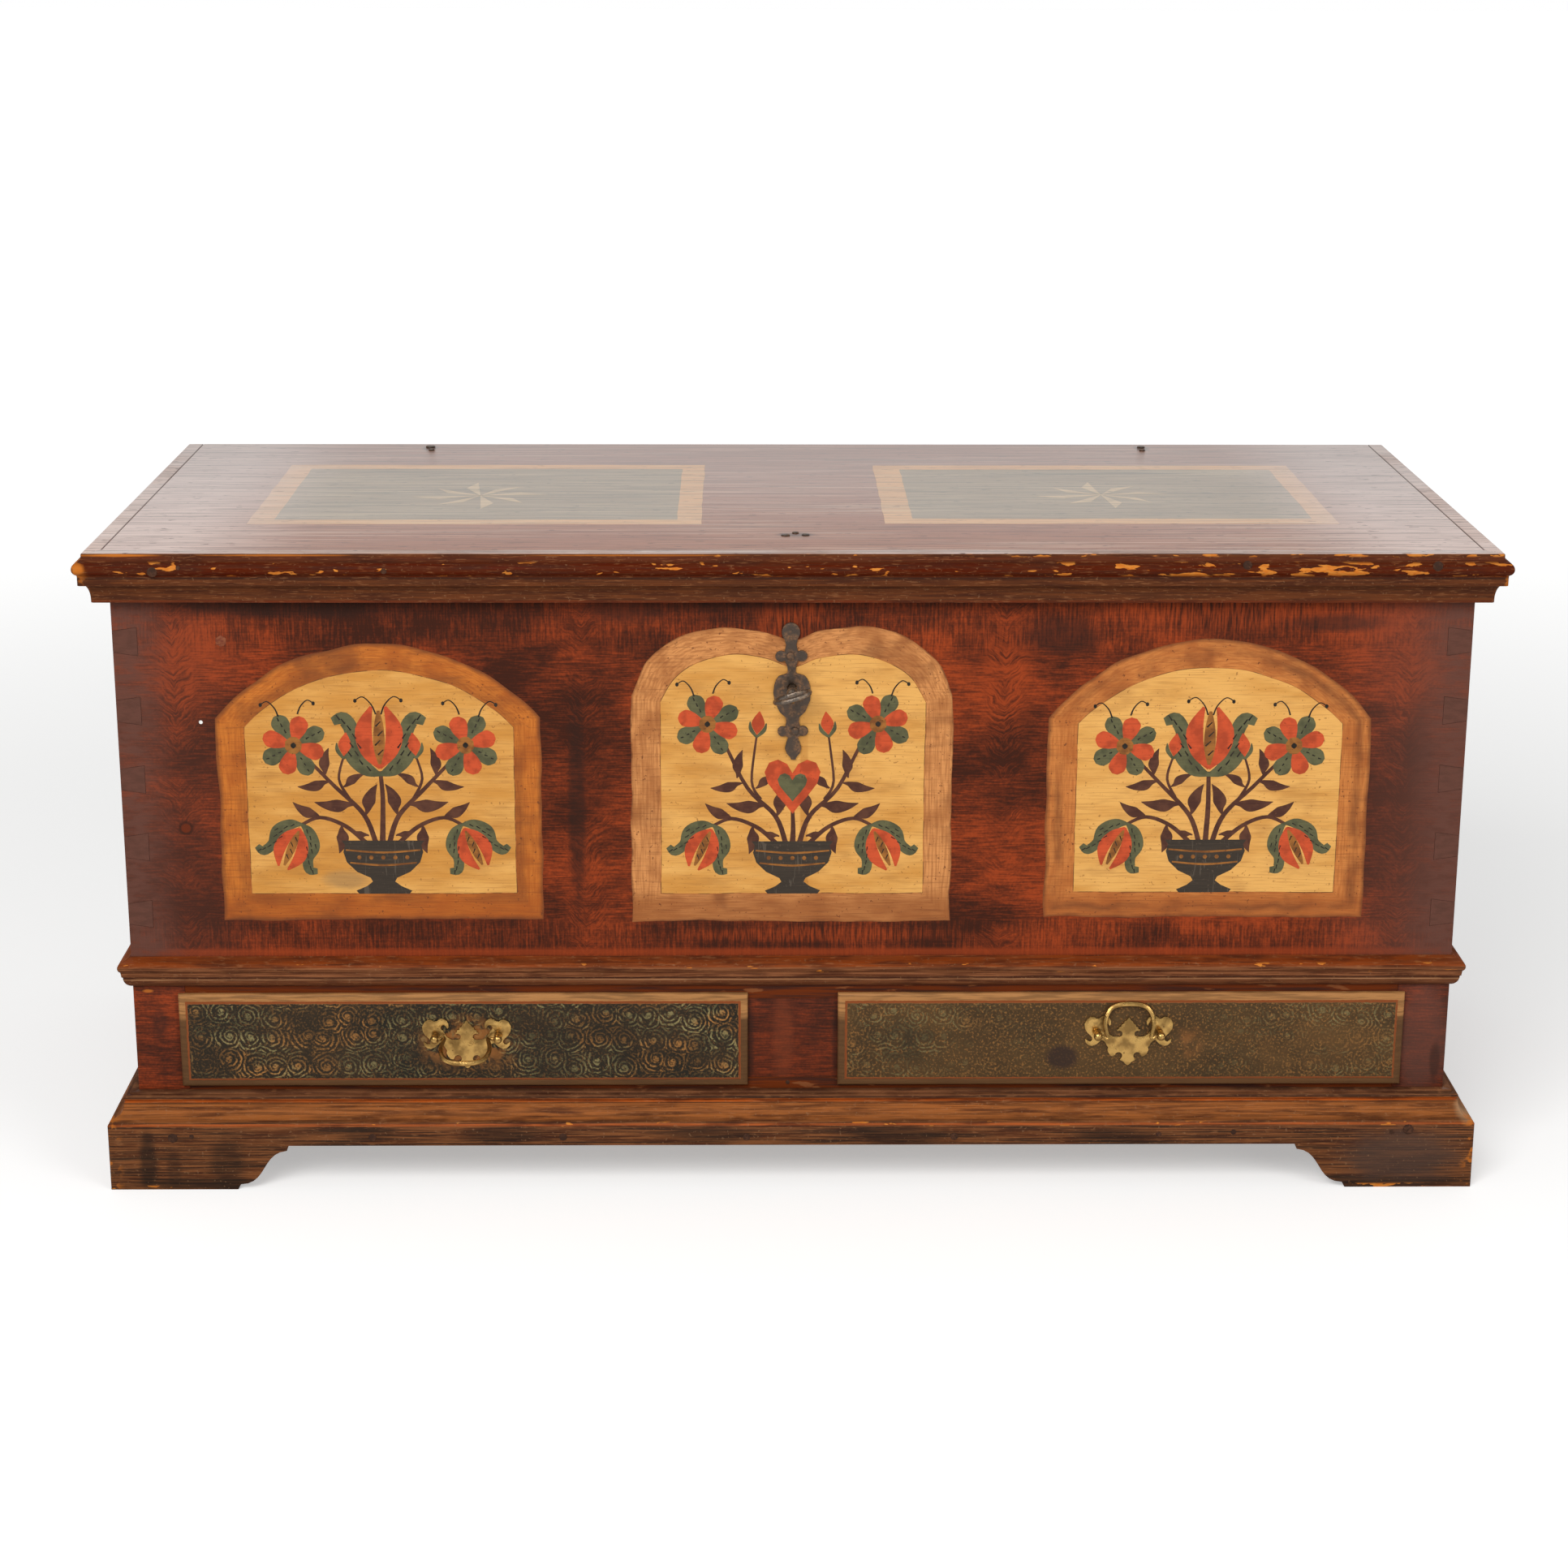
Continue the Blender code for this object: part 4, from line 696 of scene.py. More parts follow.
def leaf(start, end, half):
    """A pointed leaf between two places, as a stroke's knots, bowed a little to one side."""
    (u, v), (far_u, far_v) = start, end
    bow = (far_v - v) * 0.06, (u - far_u) * 0.06
    return [(u, v, 0.005), (u + (far_u - u) * 0.18, v + (far_v - v) * 0.18, half * 0.45),
            (u + (far_u - u) * 0.42 + bow[0], v + (far_v - v) * 0.42 + bow[1], half),
            (u + (far_u - u) * 0.72 + bow[0], v + (far_v - v) * 0.72 + bow[1], half * 0.62),
            (far_u, far_v, thinnest)]


def flip(knots):
    """The same stroke on the other side."""
    return [(-u, *rest) for u, *rest in knots]


sepal = [(0.02, 0.00, 0.02), (-0.20, 0.10, 0.11), (-0.38, 0.34, 0.14), (-0.38, 0.62, 0.11),
         (-0.50, 0.84, 0.10), (-0.66, 0.80, 0.06)]
side_petal = [(0.0, 0.10, 0.02), (-0.17, 0.36, 0.10), (-0.22, 0.68, 0.12), (-0.10, 1.02, 0.02)]
heart_petal = [(0.0, 0.16, 0.02), (0.0, 0.42, 0.08), (0.0, 0.72, 0.07), (0.0, 0.96, 0.02)]
sepal_ticks = [(-0.16, 0.10), (-0.27, 0.20), (-0.33, 0.33), (-0.40, 0.45), (-0.36, 0.58),
               (-0.43, 0.70), (-0.51, 0.80), (-0.43, 0.32), (-0.29, 0.44), (-0.58, 0.86)]
heart_ticks = [(0.02, 0.34), (-0.02, 0.48), (0.02, 0.62), (-0.01, 0.76)]


def ticks(places, lean, length=0.075, half=0.012):
    """Short black strokes at a slant, as knots."""
    return [[(u - lean * length / 2, v - length / 2, half),
             (u + lean * length / 2, v + length / 2, half * 0.6)] for u, v in places]


def tulip():
    """A tulip one unit high, on its base."""
    return {"green": [sepal, flip(sepal)], "red": [side_petal, flip(side_petal)],
            "ochre": [heart_petal],
            "black": ticks(sepal_ticks, -0.7) + [flip(k) for k in ticks(sepal_ticks, -0.7)]
            + ticks(heart_ticks, 1.0)}


def rosette(petals=8):
    """A round flower one unit in radius, of red and green petals in turn."""
    made = {"red": [], "green": [], "ochre": [], "black": []}
    for petal in range(petals):
        angle = math.tau * petal / petals + 0.2
        out = (math.cos(angle), math.sin(angle))
        reach = 1.0 if petal % 2 else 0.90
        knots = [(out[0] * r * reach, out[1] * r * reach, half)
                 for r, half in ((0.12, 0.06), (0.50, 0.22), (0.82, 0.25), (1.0, 0.08))]
        made["green" if petal % 2 else "red"].append(knots)
        if petal % 2:
            for r in (0.42, 0.62, 0.82):
                made["black"].append([(out[0] * r, out[1] * r, 0.022),
                                      (out[0] * (r + 0.10), out[1] * (r + 0.10) + 0.02, 0.012)])
    made["ochre"].append([(-0.24, 0, 0.10), (-0.1, 0, 0.24), (0.1, 0, 0.24), (0.24, 0, 0.10)])
    made["black"].append([(-0.08, 0, 0.03), (0, 0, 0.09), (0.08, 0, 0.03)])
    return made


def set_down(motif, at, turn, size, into):
    """Add a motif's strokes to a picture, turned, scaled and moved; and its mirror image."""
    cosine, sine = math.cos(turn), math.sin(turn)
    for paint, strokes in motif.items():
        for knots in strokes:
            placed = [(at[0] + size * (u * cosine - v * sine),
                       at[1] + size * (u * sine + v * cosine), size * half)
                      for u, v, half in knots]
            into[paint].append(placed)
            if at[0]:
                into[paint].append(flip(placed))


def curl(start, way, size, into):
    """A thin tendril that ends in a dot."""
    u, v = start
    tip, dot_v = u + way * size, v + size * 0.70
    into["black"] += [
        [(u, v, 0.006), (u + way * size * 0.20, v + size * 0.50, 0.005),
         (u + way * size * 0.62, v + size * 0.90, 0.004), (tip, v + size * 0.72, 0.004)],
        [(tip - 0.012, dot_v, 0.008), (tip, dot_v, 0.016), (tip + 0.012, dot_v, 0.008)]]


bowl_shares = [(0.19, 0.0), (0.21, 0.025), (0.13, 0.060), (0.085, 0.095), (0.10, 0.125),
               (0.20, 0.175), (0.275, 0.25), (0.30, 0.33), (0.285, 0.385), (0.31, 0.42)]
heart_shares = [(0.0, 0.20), (0.05, 0.29), (0.13, 0.33), (0.21, 0.30), (0.25, 0.21),
                (0.22, 0.10), (0.13, -0.03), (0.05, -0.13), (0.0, -0.20)]


def nosegay(lift):
    """The strokes of a panel's flowers, by colour, in shares of the panel's half width."""
    picture = {"brown": [], "green": [], "red": [], "ochre": [], "black": []}
    side_stem = [(0.05, 0.40, 0.020), (0.13, 0.62, 0.018), (0.34, 0.84, 0.015),
                 (0.53, 1.04 + lift, 0.012)]
    low_stem = [(0.12, 0.40, 0.018), (0.27, 0.53, 0.016), (0.46, 0.60, 0.014), (0.61, 0.54, 0.012)]
    twig = [(0.24, 0.75, 0.012), (0.31, 0.90, 0.010), (0.27, 1.08 + lift, 0.008)]
    if lift:
        picture["brown"].append([(0, 0.40, 0.022), (0.005, 0.52, 0.018), (0, 0.66, 0.014)])
    else:
        picture["brown"].append([(0, 0.40, 0.022), (0.01, 0.68, 0.018), (0, 0.96, 0.015)])
        set_down(tulip(), (0, 0.93), 0, 0.52, picture)
        curl((0.02, 1.40), 1, 0.15, picture)
        curl((-0.02, 1.40), -1, 0.15, picture)
    for knots in (side_stem, low_stem, twig):
        picture["brown"] += [knots, flip(knots)]
    for start, end, half in (
            ((0.12, 0.62), (0.03, 0.86), 0.050), ((0.20, 0.70), (0.50, 0.72), 0.050),
            ((0.38, 0.88), (0.62, 0.84), 0.040), ((0.42, 0.92), (0.38, 1.14), 0.040),
            ((0.30, 0.54), (0.33, 0.32), 0.046), ((0.46, 0.60), (0.66, 0.72), 0.042),
            ((0.28, 0.84), (0.12, 0.94), 0.034), ((0.10, 0.46), (0.24, 0.50), 0.026)):
        knots = leaf(start, end, half)
        picture["brown"] += [knots, flip(knots)]
    set_down(rosette(), (0.64, 1.16 + lift), 0.1, 0.255, picture)
    for way in (1, -1):
        curl((way * 0.74, 1.38 + lift), way, 0.13, picture)
        curl((way * 0.60, 1.40 + lift), -way, 0.12, picture)
    set_down(tulip(), (0.60, 0.55), -2.72, 0.37, picture)
    bud = {"red": [[(0, 0, 0.01), (0, 0.45, 0.26), (0, 0.95, 0.02)]],
           "green": [[(0, -0.1, 0.05), (-0.26, 0.2, 0.08), (-0.32, 0.5, 0.02)],
                     [(0, -0.1, 0.05), (0.26, 0.2, 0.08), (0.32, 0.5, 0.02)]]}
    set_down(bud, (0.27, 1.08 + lift), 0.12, 0.19, picture)
    return picture


picture_paints = {}
for colour_name, colour, dirt in (
        ("red", (0.560, 0.082, 0.028), (0.300, 0.045, 0.018)),
        ("green", (0.118, 0.112, 0.054), (0.060, 0.060, 0.032)),
        ("ochre", (0.330, 0.130, 0.030), (0.120, 0.042, 0.016)),
        ("brown", (0.066, 0.026, 0.018), (0.120, 0.048, 0.028)),
        ("black", (0.014, 0.012, 0.010), (0.040, 0.030, 0.022))):
    paint = Finish("flower_" + colour_name + "_paint", 0.5, gloss=0.10)
    thin = paint.mottle(90, 0.42, 0.66, 3.0, detail=5.0)
    paint.colour(aged(paint, paint.over(colour, thin, 0.7, dirt), dirt, 0.4))
    picture_paints[colour_name] = paint
bowl_paint = Finish("bowl_paint", 0.5, gloss=0.10)
scratches = bowl_paint.mottle((240, 240, 26), 0.62, 0.66, 2.0, smear=1.5)
bowl_paint.colour(aged(bowl_paint, bowl_paint.over(bowl_black, scratches, 0.4, scratch_grey),
                       bowl_dirt, 0.35))

for name, (middle, low, half) in panels.items():
    tall = name == "centre"
    picture = nosegay(tall_lift if tall else 0.0)

    def laid(outline, shake=0.0006):
        """An outline in shares of the panel's half width, laid on the panel by hand."""
        return unsteady([(middle + u * half, low + v * half) for u, v in outline], shake)

    bowl = bowl_shares + [(-u, v) for u, v in reversed(bowl_shares)]
    film(name + "_bowl", [laid(bowl)], bowl_proud, bowl_paint, *on_front)
    bands = [stroke([(-0.25, 0.245, 0.006), (0, 0.225, 0.008), (0.25, 0.245, 0.006)]),
             stroke([(-0.28, 0.345, 0.006), (0, 0.325, 0.008), (0.28, 0.345, 0.006)])]
    bands += [disc(share, 0.285 + 0.05 * share * share, 0.016)
              for share in (-0.18, -0.09, 0, 0.09, 0.18)]
    film(name + "_bowl_bands", [laid(band, 0) for band in bands], top_proud,
         picture_paints["ochre"], *on_front)
    if tall:
        heart = heart_shares + [(-u, v) for u, v in reversed(heart_shares[1:-1])]
        film("centre_heart", [laid([(u * 0.85, v * 0.80 + 0.80) for u, v in heart])],
             heart_proud, picture_paints["red"], *on_front)
        film("centre_heart_middle", [laid([(u * 0.45, v * 0.42 + 0.82) for u, v in heart])],
             top_proud, picture_paints["green"], *on_front)
    for number, colour_name in enumerate(("brown", "green", "red", "ochre", "black")):
        outlines = [laid(stroke(knots)) for knots in picture[colour_name]]
        film(name + "_" + colour_name + "_strokes", outlines, strokes_proud + number * stroke_rise,
             picture_paints[colour_name], *on_front)

# The lock: a filed iron escutcheon nailed over the keyhole, the key that stands in it, and
# inside the case the lock's box, its bolt and the hasp that drops from the lid to meet it.
escutcheon_nails = ((-0.0035, 0.5525), (0.0010, 0.4765))
escutcheon_face = 0.0028
nail_radius, nail_proud, nail_dome = 0.0042, 0.0019, 0.0017


def worn(node, width, body, finish, angle=0.5):
    """A CAD solid's own mesh with its edges worn round, in place of the solid."""
    piece = bpy.data.objects.new("worn_" + node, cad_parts[node].data.copy())
    bpy.context.scene.collection.objects.link(piece)
    pick(piece)
    bpy.ops.mesh.customdata_custom_splitnormals_clear()
    bpy.ops.object.mode_set(mode="EDIT")
    bpy.ops.mesh.select_all(action="SELECT")
    bpy.ops.mesh.remove_doubles(threshold=merge_reach)
    bpy.ops.mesh.dissolve_limited(angle_limit=0.01)
    bpy.ops.object.mode_set(mode="OBJECT")
    round_edges(piece, width, 2, angle)
    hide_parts(node)
    put_away(piece, "worn_" + node, body, finish)


def iron_finish(name, dark, light, roughness, metallic=0.55, gloss=0.5):
    """Forged iron, brown and pitted, with a little sheen where hands have rubbed it."""
    metal = Finish(name, roughness, metallic, gloss)
    pits = metal.noise(420, 2.0, detail=4.0)
    rust = metal.mottle(120, 0.42, 0.62, 5.0, detail=4.0)
    metal.colour(metal.blend(metal.both(rust, metal.step(pits, 0.3, 0.7)), dark, light))
    metal.rough(metal.choose(rust, roughness - 0.08, roughness + 0.14))
    metal.relief(pits, 0.0006)
    return metal


black_iron = iron_finish("escutcheon_iron", (0.060, 0.040, 0.028), (0.210, 0.105, 0.050), 0.46)
key_iron = iron_finish("key_iron", (0.110, 0.085, 0.065), (0.300, 0.210, 0.140), 0.30)
worn("escutcheon", 0.0006, "case", black_iron)
worn("key", 0.0003, "key", key_iron, 0.7)
for number, (x, z) in enumerate(escutcheon_nails):
    stud("escutcheon_nail_%d" % number, (x, face_y - escutcheon_face, z), nail_radius,
         nail_proud, 16, nail_dome, black_iron, "case")
coat(black_iron, "lock_case", "lock_bolt", "lid_hasp", "left_lid_strap", "right_lid_strap",
     "left_back_leaf", "right_back_leaf", "left_hinge_pin", "right_hinge_pin")

# The lid: one wide board whose red-brown paint is worn thin and dull along the grain, with two
# green-grey fields, each in a buff border round an eight-rayed star.  A few nails and the
# rivets of the hasp and hinges come through it.
lid_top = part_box("lid_board")[1].z
lid_red = (0.350, 0.150, 0.092)
lid_pale = (0.510, 0.310, 0.225)
lid_dark = (0.110, 0.044, 0.030)
lid_rubbed_and_sheen = (0.770, 0.615, 0.555)
lid_rust = (0.060, 0.030, 0.022)
varnish_rough, varnish_gloss = 0.30, 0.7
rubbed_and_sheen_share = 0.75
star_radius, star_rays, star_turn = 0.072, 8, 0.12
ray_share, ray_wide_share, ray_lean = 0.86, 0.62, 0.30


def lid_tone(paint, dark, base, pale):
    """Paint rubbed along the grain; paler at the lid's ends, partly from wear and partly as a
    painted sheen; and the grain's height.
    """
    streaks = paint.mottle((5, 190, 190), 0.42, 0.64, 1.0, detail=5.0)
    rubbed = paint.mottle((3, 14, 14), 0.36, 0.60, 3.0, detail=4.0)
    fine = paint.noise((14, 620, 620), 6.0)
    tone = paint.blend(paint.both(streaks, rubbed), base, pale)
    # The pale ends are worn paint and partly a painted sheen of the varnish.
    tone = paint.over(tone, paint.step(paint.out, 0.46, 0.62), rubbed_and_sheen_share, lid_rubbed_and_sheen)
    tone = paint.over(tone, paint.step(fine, 0.50, 0.66), 0.60, dark)
    tone = paint.over(tone, paint.mottle((5, 260, 260), 0.54, 0.68, 2.0, detail=6.0), 0.58, dark)
    nicks = paint.mottle((60, 240, 240), 0.64, 0.70, 9.0, detail=2.0)
    return paint.over(tone, nicks, 0.8, dark), fine


def lid_finish(name, dark, base, pale):
    """Lid paint with a low varnish over it."""
    paint = Finish(name, varnish_rough, gloss=varnish_gloss)
    paint.whole_tone, fine = lid_tone(paint, dark, base, pale)
    paint.colour(paint.whole_tone)
    paint.relief(fine, 0.0003)
    return paint


lid_paint = lid_finish("lid_board_paint", lid_dark, lid_red, lid_pale)
lid_top_tone = lid_paint.marked(lid_paint.whole_tone, (
    ((0.002, face_y + 0.067), (0.026, 0.012), lid_rust, 0.75),
    ((-0.407, face_y + 0.555), (0.012, 0.022), lid_rust, 0.75),
    ((0.405, face_y + 0.555), (0.011, 0.022), lid_rust, 0.75)), flat=True)
under_lid = lid_paint.step(lid_paint.z, lid_top - 0.0040, lid_top - 0.0080)
lid_wood, _ = wood_tone(lid_paint, inside_pale, inside_dark, across_grain)
lid_paint.colour(lid_paint.blend(under_lid, lid_top_tone, lid_wood))
lid_paint.rough(lid_paint.choose(under_lid, varnish_rough, 0.65))
lid_paint.shine(lid_paint.choose(under_lid, varnish_gloss, 0.08))
worn("lid_board", 0.0008, "lid", lid_paint)
field_paint = lid_finish("lid_field_paint", (0.110, 0.090, 0.065), (0.335, 0.243, 0.155),
                         (0.450, 0.345, 0.225))
buff_paint = lid_finish("lid_border_paint", (0.300, 0.130, 0.055), (0.720, 0.385, 0.160),
                        (0.660, 0.420, 0.220))
star_paint = lid_finish("lid_star_paint", (0.260, 0.190, 0.110), (0.600, 0.430, 0.250),
                        (0.660, 0.480, 0.290))


def rectangle(left, right, near, far, steps=20):
    """A rectangle's outline on the lid, with its depths measured back from the case's front."""
    corners = [(left, face_y + near), (right, face_y + near), (right, face_y + far),
               (left, face_y + far)]
    return [point for start, end in zip(corners, corners[1:] + corners[:1])
            for point in straight(start, end, steps)]


on_lid = ("lid", "lid_paint", (0, 0, lid_top), lying)
for side, outer_field, inner_field, star in (
        ("left", (-0.549, -0.092, 0.119, 0.448), (-0.524, -0.117, 0.142, 0.424), (-0.327, 0.270)),
        ("right", (0.093, 0.552, 0.122, 0.446), (0.122, 0.529, 0.148, 0.421), (0.328, 0.275))):
    outer_ring = unsteady(rectangle(*outer_field), 0.0014)
    inner_ring = unsteady(rectangle(*inner_field), 0.0010)
    border(side + "_lid_border", outer_ring, inner_ring, coat_thick, buff_paint, *on_lid)
    film(side + "_lid_field", [inner_ring], coat_thick * 0.8, field_paint, *on_lid)
    rays = []
    for number in range(star_rays):
        angle = math.tau * (number + star_turn) / star_rays
        reach = star_radius * (ray_share if number % 2 else 1.0)
        wide, lean = reach * ray_wide_share, angle + ray_lean
        rays.append(unsteady([(star[0] + u, face_y + star[1] + v) for u, v in (
            (0, 0), (reach * math.cos(angle), reach * math.sin(angle)),
            (wide * math.cos(lean), wide * math.sin(lean)))], 0.0012))
    film(side + "_lid_star", rays, coat_thick * 1.2, star_paint, *on_lid)

for number, (x, depth, radius) in enumerate((
        (-0.008, 0.062, 0.0045), (0.012, 0.064, 0.0040), (0.002, 0.074, 0.0035),
        (-0.407, 0.560, 0.0055), (-0.404, 0.540, 0.0035), (0.405, 0.560, 0.0045),
        (0.404, 0.540, 0.0035))):
    stud("lid_rivet_%d" % number, (x, face_y + depth, lid_top), radius, 0.0016, 12, 0.0014,
         black_iron, "lid", lying)

# The lid's moulding: three mitred lengths glued and nailed round the lid board's front and
# ends.  Its round nose is red and much chipped, and its cove is brown.
nose_z = lid_top - 0.0149
nose_reach = 0.0298
chip_orange, chip_pale = (0.560, 0.165, 0.022), (0.600, 0.215, 0.036)
scuff_tan, dust_tan = (0.360, 0.150, 0.060), (0.300, 0.160, 0.080)
cove_brown, cove_dark = (0.128, 0.038, 0.013), (0.085, 0.028, 0.012)
nose_red = (0.078, 0.008, 0.001)
upper_brown = (0.110, 0.026, 0.011)
moulding_gloss = 0.025


def moulding_paint(name, base, deep, bands, chip_edges, chip_level, marks=()):
    """A moulding's paint: coloured bands up its profile, some of them painted shade and
    highlight lines; grain, grime and chipped edges.
    """
    paint = Finish(name, 0.45, gloss=moulding_gloss)
    streaks = paint.mottle((10, 10, 520), 0.40, 0.62, 1.0, detail=5.0)
    tone = paint.blend(streaks, base, deep)
    for low, high, soft, band_colour, share in bands:
        part = paint.both(paint.between(paint.z, low, high, soft), paint.plus(1.0, streaks, -0.45))
        tone = paint.over(tone, part, share, band_colour)
    tone = paint.over(tone, paint.mottle((22, 22, 210), 0.46, 0.68, 4.0, detail=7.0), 0.62, maroon)
    scuffs = paint.mottle((90, 90, 800), 0.56, 0.68, 8.0, detail=4.0)
    tone = paint.over(tone, scuffs, 0.30, scuff_tan)
    tone = paint.over(tone, paint.mottle((14, 14, 950), 0.56, 0.64, 5.0, detail=5.0), 0.55, maroon)
    by_front = paint.step(paint.y, face_y + 0.060, face_y + 0.004)
    tone = paint.marked(tone, marks, by_front)
    chips = paint.noise((38, 38, 150), 7.0, smear=0.3)
    level = paint.plus(chip_level, paint.both(paint.step(paint.x, -0.10, 0.45), by_front), -0.065)
    for low, high in chip_edges:
        chipped = paint.both(paint.between(paint.z, low, high, 0.0012),
                             paint.step(paint.minus(chips, level), 0.0, 0.018))
        chip_tone = paint.blend(paint.mottle((160, 160, 400), 0.4, 0.6, 3.0),
                                chip_orange, chip_pale)
        tone = paint.blend(chipped, tone, chip_tone)
    end_wear = paint.both(paint.step(paint.out, case_half + 0.012, case_half + 0.028),
                          paint.mottle(60, 0.52, 0.58, 2.0, detail=4.0))
    end_wear = paint.both(end_wear, paint.step(paint.y, face_y + 0.004, face_y - 0.018))
    tone = paint.over(tone, end_wear, 0.7, chip_orange)
    tone = paint.over(tone, paint.mottle(300, 0.66, 0.72, 6.0, detail=2.0), 0.3, dust_tan)
    paint.whole_tone = tone
    paint.colour(tone)
    paint.relief(paint.plus(paint.noise((12, 12, 520), 3.0), chips, 0.5), 0.0005)
    paint.rough(paint.choose(streaks, 0.36, 0.55))
    return paint


lid_edge_paint = moulding_paint(
    "lid_moulding_paint", cove_brown, cove_dark,
    ((nose_z - 0.0080, nose_z + 0.0070, 0.0012, nose_red, 0.95),
     # A dark band of painted shade under the round nose.
     (nose_z - 0.0100, nose_z - 0.0078, 0.0006, smoke_and_shade, 0.9),
     (nose_z + 0.0072, lid_top - 0.0030, 0.0008, upper_brown, 0.9),
     (lid_top - 0.0520, lid_top - 0.0478, 0.0006, old_red, 0.9)),
    ((nose_z - 0.0062, nose_z + 0.0066), (lid_top - 0.0030, lid_top - 0.0004)), 0.640,
    (((-0.650, lid_top - 0.0022), (0.048, 0.0016), chip_orange, 0.9),
     ((-0.500, lid_top - 0.0020), (0.090, 0.0012), chip_orange, 0.6),
     ((-0.150, lid_top - 0.0020), (0.120, 0.0011), chip_orange, 0.5),
     ((-0.688, nose_z), (0.008, 0.0060), chip_orange, 0.8)))
edge_top_tone, _ = lid_tone(lid_edge_paint, lid_dark, lid_pale, lid_rubbed_and_sheen)
board_low, board_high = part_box("lid_board")
from_board = lid_edge_paint.maths(
    "MAXIMUM", lid_edge_paint.minus(lid_edge_paint.out, board_high.x),
    lid_edge_paint.minus(board_low.y, lid_edge_paint.y))
joint = lid_edge_paint.step(from_board, 0.0018, 0.0007)
edge_top_tone = lid_edge_paint.over(edge_top_tone, joint, 0.85, lid_dark)
edge_top = lid_edge_paint.step(lid_edge_paint.z, lid_top - 0.0008, lid_top - 0.0002)
lid_edge_paint.colour(lid_edge_paint.blend(edge_top, lid_edge_paint.whole_tone, edge_top_tone))
lid_edge_paint.shine(lid_edge_paint.choose(edge_top, moulding_gloss, varnish_gloss))
for side in ("front", "left", "right"):
    worn("lid_moulding_" + side, 0.0007, "lid", lid_edge_paint)

nail_iron = iron_finish("nail_iron", (0.040, 0.018, 0.011), (0.095, 0.040, 0.022), 0.70, 0.0, 0.10)
for number, (x, z, radius) in enumerate((
        (-0.617, 0.642, 0.0050), (-0.592, 0.646, 0.0022), (-0.395, 0.643, 0.0030),
        (0.436, 0.649, 0.0045), (0.620, 0.648, 0.0050))):
    stud("lid_nail_%d" % number, (x, face_y - nose_reach + 0.0006, z), radius, 0.0008, 12,
         0.0006, nail_iron, "lid")

# The middle moulding: three mitred lengths nailed round the case where the chest proper meets
# the drawer bay, worn to bare wood along its nose.
mid_low, mid_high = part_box("mid_moulding_front")
waist_paint = moulding_paint(
    "middle_moulding_paint", (0.240, 0.088, 0.036), (0.110, 0.036, 0.015),
    ((mid_low.z - 0.001, mid_low.z + 0.010, 0.002, (0.150, 0.050, 0.020), 0.7),
     # A dark line of painted shade, and a pale line of painted highlight along the arris below it.
     (mid_low.z + 0.0098, mid_low.z + 0.0116, 0.0005, smoke_and_shade, 0.85),
     (mid_low.z + 0.0078, mid_low.z + 0.0090, 0.0004, (0.400, 0.210, 0.100), 0.8),
     (mid_high.z - 0.0085, mid_high.z + 0.001, 0.0012, (0.220, 0.042, 0.007), 0.95)),
    ((mid_low.z + 0.017, mid_low.z + 0.026),), 0.70)
for side in ("front", "left", "right"):
    worn("mid_moulding_" + side, 0.0006, "case", waist_paint)

# The drawer bay: two floors housed in the side boards, and three stiles between them.  Their
# front edges carry the same red as the case, and the rest is bare wood.
bay_red = (0.130, 0.023, 0.003)
bay_scuff = (0.200, 0.062, 0.020)
pine_pale, pine_dark = (0.500, 0.300, 0.140), (0.300, 0.150, 0.062)


def bare_board(name, pale, dark, waves):
    """A finish of old bare softwood, with the grain running along the board."""
    wood = Finish(name, 0.65, gloss=0.08)
    wood.base_tone, fibres = wood_tone(wood, pale, dark, waves)
    wood.colour(wood.base_tone)
    wood.relief(fibres, 0.0004)
    return wood


floor_wood = bare_board("floor_board_wood", pine_pale, pine_dark, (4, 60, 60))
edge_red = floor_wood.step(floor_wood.y, face_y + 0.0012, face_y + 0.0004)
edge_tone = floor_wood.blend(floor_wood.mottle((12, 12, 300), 0.40, 0.66, 2.0, 4.0),
                             bay_red, maroon)
edge_tone = floor_wood.blend(floor_wood.mottle((30, 30, 120), 0.62, 0.68, 5.0), edge_tone,
                             bay_scuff)
# Dark lines of painted shadow in the gaps above the left drawer and below the right one.
edge_tone = floor_wood.marked(edge_tone, (((-0.360, 0.1965), (0.330, 0.0026), smoke_and_shade, 0.8),
                                          ((0.360, 0.1095), (0.330, 0.0026), smoke_and_shade, 0.8)))
floor_wood.colour(floor_wood.blend(edge_red, floor_wood.base_tone, edge_tone))
coat(floor_wood, "chest_floor", "bay_floor")

stile_paint = Finish("stile_paint", 0.5, gloss=0.07)
stile_patches = stile_paint.mottle((14, 14, 9), 0.40, 0.64, 5.0, 4.0)
stile_wash = stile_paint.plus(stile_paint.both(stile_patches, 0.6),
                              stile_paint.step(stile_paint.x, 0.60, -0.60), 0.5)
stile_tone = comb_tone(stile_paint, stile_paint.combed(0.0, 0.0, stile_paint.out), stile_wash)
stile_paint.colour(stile_paint.marked(stile_tone, (
    ((-0.650, 0.2045), (0.007, 0.0025), chip_orange, 0.6),
    ((0.640, 0.150), (0.040, 0.090), corner_brown, 0.6),
    ((0.000, 0.150), (0.060, 0.090), maroon, 0.35),
    ((-0.010, 0.150), (0.014, 0.070), (0.200, 0.046, 0.018), 0.35),
    # The dark marks from here on are smudges, and down the centre stile's edges beside the drawer
    # lips, painted shade.
    ((-0.640, 0.170), (0.010, 0.020), smoke_and_shade, 0.6),
    ((0.655, 0.125), (0.007, 0.030), smoke_and_shade, 0.6),
    ((0.044, 0.150), (0.006, 0.060), smoke_and_shade, 0.6),
    ((-0.044, 0.150), (0.006, 0.060), smoke_and_shade, 0.6))))
for side in ("left", "centre", "right"):
    worn(side + "_stile", 0.0005, "case", stile_paint)

